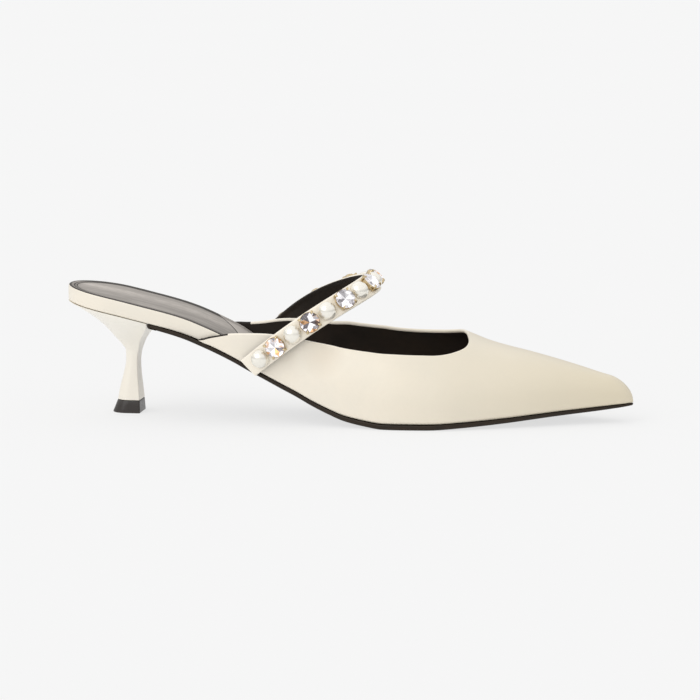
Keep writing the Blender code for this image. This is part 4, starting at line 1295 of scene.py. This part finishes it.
class MULE_OT_pearls(bpy.types.Operator):
    """Sets the half-round pearls on the strap"""

    bl_idname = "mule.pearls"
    bl_label = "Pearls"

    def execute(self, context):
        looks = context.scene.mule_looks
        radius, rise = PEARL_WIDTH/2, 0.46*PEARL_WIDTH
        # A flattened dome with a tucked-in base: radius and height by angle from its rim
        angle = np.linspace(-0.45, math.pi/2 - 0.03, 26)
        ring_r = radius*np.cos(angle)
        ring_z = rise*np.sin(angle) + 0.10*rise
        keep = ring_z > -0.02*MM
        ring_r, ring_z = ring_r[keep], ring_z[keep]
        ring_r = np.concatenate([[0.80*radius], ring_r])
        ring_z = np.concatenate([[ring_z[0] - 0.02*MM], ring_z])
        dome = turned_rings(ring_r, ring_z)
        parts = []
        for k in range(0, STONE_COUNT, 2):
            parts.append(rings_piece(set_on_strap(dome, k, STONE_LIFT)))
        made = piece("pearls", *joined(parts), [material("pearl lustre", pearl_lustre, looks)], sharp=60)
        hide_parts(*[f"pearl_{n}" for n in range(1, STONE_COUNT//2 + 2)])
        return {"FINISHED"}


def brilliant(radius, seat, girdle):
    """Cut stone as points, facets, which facets are silvered (1) or clear (0), and each one's
    painted reflection tone: octagonal table, stars, kites and halves over a pointed back of eight kites."""
    crown, band = 0.32*radius, 0.05*radius
    turn8, turn16 = np.arange(8)*math.pi/4, np.arange(16)*math.pi/8

    def ring(reach, turn, height):
        return np.column_stack([reach*np.cos(turn), reach*np.sin(turn), np.full(len(turn), height)])

    table = ring(0.52*radius, turn8, girdle + band + crown)
    star = ring(0.78*radius, turn8 + math.pi/8, girdle + band + 0.60*crown)
    rim = ring(radius, turn16, girdle + band)
    base = ring(radius, turn16, girdle)
    half = ring(0.58*radius, turn8 + math.pi/8, girdle - 0.50*(girdle - seat))
    points = np.concatenate([table, star, rim, base, half, [[0, 0, seat]]])
    t, a, g, b, h, c = 0, 8, 16, 32, 48, 56
    faces, slots, reflection_tones = [tuple(range(8))], [0], [1.0]
    # Painted reflection tones for the silvered back's facets
    depth = [0.95, 0.12, 0.72, 0.88, 0.55, 0.90, 0.20, 1.0]
    for i in range(8):
        j, before = (i + 1) % 8, (i - 1) % 8
        p, q, r = 2*i, 2*i + 1, (2*i + 2) % 16
        faces += [(t + i, t + j, a + i), (t + i, a + before, g + p, a + i), (a + i, g + p, g + q),
                  (a + i, g + q, g + r), (g + p, g + q, b + q, b + p), (g + q, g + r, b + r, b + q)]
        slots += [0]*6
        reflection_tones += [1.0]*6
        faces += [(b + p, b + q, h + i), (b + q, b + r, h + i), (h + before, b + p, h + i, c)]
        slots += [1]*3
        reflection_tones += [depth[(i + 3) % 8], depth[(3*i + 1) % 8], depth[i]]
    return points, faces, slots, reflection_tones


class MULE_OT_crystals(bpy.types.Operator):
    """Sets the cut crystals and their gilt claw cups on the strap"""

    bl_idname = "mule.crystals"
    bl_label = "Crystals and cups"

    def execute(self, context):
        looks = context.scene.mule_looks
        radius = STONE_WIDTH/2
        seat, girdle = 0.30*CUP_HEIGHT + GAP, CUP_HEIGHT + 0.02*CRYSTAL_WIDTH
        stone, facets, slots, reflection_tones = brilliant(radius, seat, girdle)
        points, faces, all_slots, all_reflection_tones, cups = [], [], [], [], []
        for n, k in enumerate(range(1, STONE_COUNT, 2)):
            points.append(set_on_strap(self.turned(stone, 0.21 + 0.37*n), k, GAP))
            faces += [tuple(v + n*len(stone) for v in face) for face in facets]
            all_slots += slots
            # Each stone's painted reflection tones are shifted, so that no two stones look alike
            all_reflection_tones += [tone if tone == 1.0 else (tone + 0.13*n) % 1.0 for tone in reflection_tones]
            cups += [rings_piece(set_on_strap(self.wall(), k, STONE_LIFT))]
            cups += [rings_piece(set_on_strap(claw, k, STONE_LIFT)) for claw in self.claws()]
        mesh = bpy.data.meshes.new("crystals")
        mesh.from_pydata(np.concatenate(points), [], faces)
        mesh.materials.append(material("cut crystal", cut_crystal))
        mesh.materials.append(material("stone foil", foil_back))
        mesh.polygons.foreach_set("material_index", np.array(all_slots, np.int32))
        layer = mesh.attributes.new("facet", "FLOAT", "FACE")
        layer.data.foreach_set("value", np.array(all_reflection_tones, np.float32))
        close_mesh(mesh)
        made = bpy.data.objects.new("crystals", mesh)
        context.scene.collection.objects.link(made)
        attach(made, "root")
        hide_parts(*[f"crystal_{n}" for n in range(1, STONE_COUNT//2 + 1)])
        made = piece("claw_cups", *joined(cups), [material("gilt metal", gilt_metal, looks)], sharp=40)
        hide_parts(*[f"cup_{n}" for n in range(1, STONE_COUNT//2 + 1)])
        return {"FINISHED"}

    def turned(self, points, angle):
        """Points turned about a stone's own axis, so that no two stones sparkle alike."""
        c, s = math.cos(angle), math.sin(angle)
        return points @ np.array([[c, s, 0], [-s, c, 0], [0, 0, 1]])

    def wall(self):
        """Cup turned from a profile: flared outside, a cone inside, a rolled rim."""
        outer = CUP_WIDTH/2
        rows = np.array([(0.50, 0.0), (0.80, 0.0), (0.86, 0.08), (0.91, 0.55), (0.935, 0.92), (0.93, 0.98),
                         (0.915, 1.0), (0.895, 0.97), (0.86, 0.80), (0.60, 0.28), (0.20, 0.22)])
        return turned_rings(rows[:, 0]*outer, rows[:, 1]*CUP_HEIGHT)

    def claws(self):
        """Four tapered claws that rise outside the rim and fold over the stone's crown."""
        outer = CUP_WIDTH/2
        t = np.linspace(0, 1, 12)
        reach = outer*ease(t, [0, 0.35, 0.6, 0.8, 1.0], [0.93, 1.00, 0.98, 0.88, 0.74])
        rise = CUP_HEIGHT*ease(t, [0, 0.35, 0.6, 0.8, 1.0], [0.15, 0.95, 1.36, 1.56, 1.61])
        thick = ease(t, [0, 0.4, 0.8, 0.95, 1.0], [0.40*MM, 0.50*MM, 0.46*MM, 0.34*MM, 0.16*MM])
        made = []
        for quarter in range(4):
            turn = math.pi/4 + quarter*math.pi/2
            path = np.stack([reach*math.cos(turn), reach*math.sin(turn), rise], axis=-1)
            made.append(tube(path, thick, 12))
        return made


class MULE_OT_stage(bpy.types.Operator):
    """Lays the pale floor, the soft light and the camera at the photograph's angle"""

    bl_idname = "mule.stage"
    bl_label = "Stage"

    def execute(self, context):
        looks = context.scene.mule_looks
        scene = context.scene
        self.floor(scene)
        self.sky(scene, looks.light)
        self.lights(scene, looks.light)
        self.camera(scene)
        scene.view_settings.view_transform = "Standard"
        return {"FINISHED"}

    def floor(self, scene):
        """A wide pale floor just under the shoe."""
        mesh = bpy.data.meshes.new("floor")
        side = 30.0
        corners = [(-side, -side, 0), (side, -side, 0), (side, side, 0), (-side, side, 0)]
        mesh.from_pydata(corners, [], [(0, 1, 2, 3)])
        floor = bpy.data.objects.new("floor", mesh)
        scene.collection.objects.link(floor)
        made, tree, shader = new_material("pale floor", 0.8, specular=0.0)
        connect(tree, shader, blend(tree, noise(tree, place(tree), 0.4), (0.215, 0.215, 0.215),
                                    (0.22, 0.22, 0.22)))
        shader.inputs["Emission Color"].default_value = (1.0, 1.0, 1.0, 1.0)
        shader.inputs["Emission Strength"].default_value = FLOOR_GLOW
        mesh.materials.append(made)

    def sky(self, scene, strength):
        """Soft light from all round: bright overhead and at the heel's end, dimmer towards the toe
        and in a band along the horizon."""
        world = bpy.data.worlds.new("studio")
        world.use_nodes = True
        scene.world = world
        tree = world.node_tree
        x, _, z = split(tree, add(tree, "ShaderNodeTexCoord").outputs["Generated"])
        ramp = spread(tree, z, 0.02, 0.42, 0.36, 1.06)
        ramp = times(tree, ramp, spread(tree, x, -1.0, 1.0, 1.08, 1.02))
        back = tree.nodes["Background"]
        back.inputs["Color"].default_value = (1.0, 1.0, 1.0, 1.0)
        tree.links.new(times(tree, ramp, 0.88*strength), back.inputs["Strength"])

    def lights(self, scene, strength):
        """A very soft key from the heel's side, above and in front, and a weak low one."""
        # Name, direction it comes from, width in degrees, strength
        rows = [("key_light", (-1.0, -1.2, 1.1), 50.0, 0.66), ("front_light", (-0.1, -1.0, 0.25), 40.0, 0.10)]
        for name, spot, width, power in rows:
            data = bpy.data.lights.new(name, "SUN")
            data.angle = math.radians(width)
            data.energy = power*strength
            lamp = bpy.data.objects.new(name, data)
            scene.collection.objects.link(lamp)
            lamp.location = spot
            lamp.rotation_euler = (-Vector(spot)).to_track_quat("-Z", "Y").to_euler()

    def camera(self, scene):
        """Camera on the sight line found from the photograph, turned to the shoe's middle."""
        data = bpy.data.cameras.new("camera")
        data.sensor_width = 36.0
        data.lens = VIEW_LENS
        data.clip_start = 0.01
        data.clip_end = 100.0
        made = bpy.data.objects.new("camera", data)
        scene.collection.objects.link(made)
        turn, tilt = math.radians(VIEW_AZIMUTH), math.radians(VIEW_ELEVATION)
        sight = Vector((-math.sin(turn)*math.cos(tilt), math.cos(turn)*math.cos(tilt), -math.sin(tilt)))
        made.location = Vector(VIEW_TARGET) - VIEW_DISTANCE*sight
        made.rotation_euler = sight.to_track_quat("-Z", "Y").to_euler()
        scene.camera = made


class MULE_PT_panel(bpy.types.Panel):
    """Lists the shoe's pieces in the 3D view's sidebar"""

    bl_idname = "MULE_PT_panel"
    bl_label = "Kitten-heel mule"
    bl_space_type = "VIEW_3D"
    bl_region_type = "UI"
    bl_category = "Mule"

    def draw(self, context):
        looks = context.scene.mule_looks
        for name in looks.__annotations__:
            self.layout.prop(looks, name)
        for operator in OPERATORS:
            self.layout.operator(operator.bl_idname)


OPERATORS = (MULE_OT_stage, MULE_OT_upper, MULE_OT_sole, MULE_OT_heel, MULE_OT_board, MULE_OT_sock,
             MULE_OT_strap, MULE_OT_pearls, MULE_OT_crystals)
CLASSES = (MuleLooks, *OPERATORS, MULE_PT_panel)


def register():
    for item in CLASSES:
        bpy.utils.register_class(item)
    bpy.types.Scene.mule_looks = PointerProperty(type=MuleLooks)


def unregister():
    del bpy.types.Scene.mule_looks
    for item in reversed(CLASSES):
        bpy.utils.unregister_class(item)


def main():
    """Builds every piece in order."""
    register()
    bpy.ops.mule.stage()
    bpy.ops.mule.upper()
    bpy.ops.mule.sole()
    bpy.ops.mule.heel()
    bpy.ops.mule.board()
    bpy.ops.mule.sock()
    bpy.ops.mule.strap()
    bpy.ops.mule.pearls()
    bpy.ops.mule.crystals()
    bpy.context.view_layer.update()


if __name__ == "__main__":
    main()
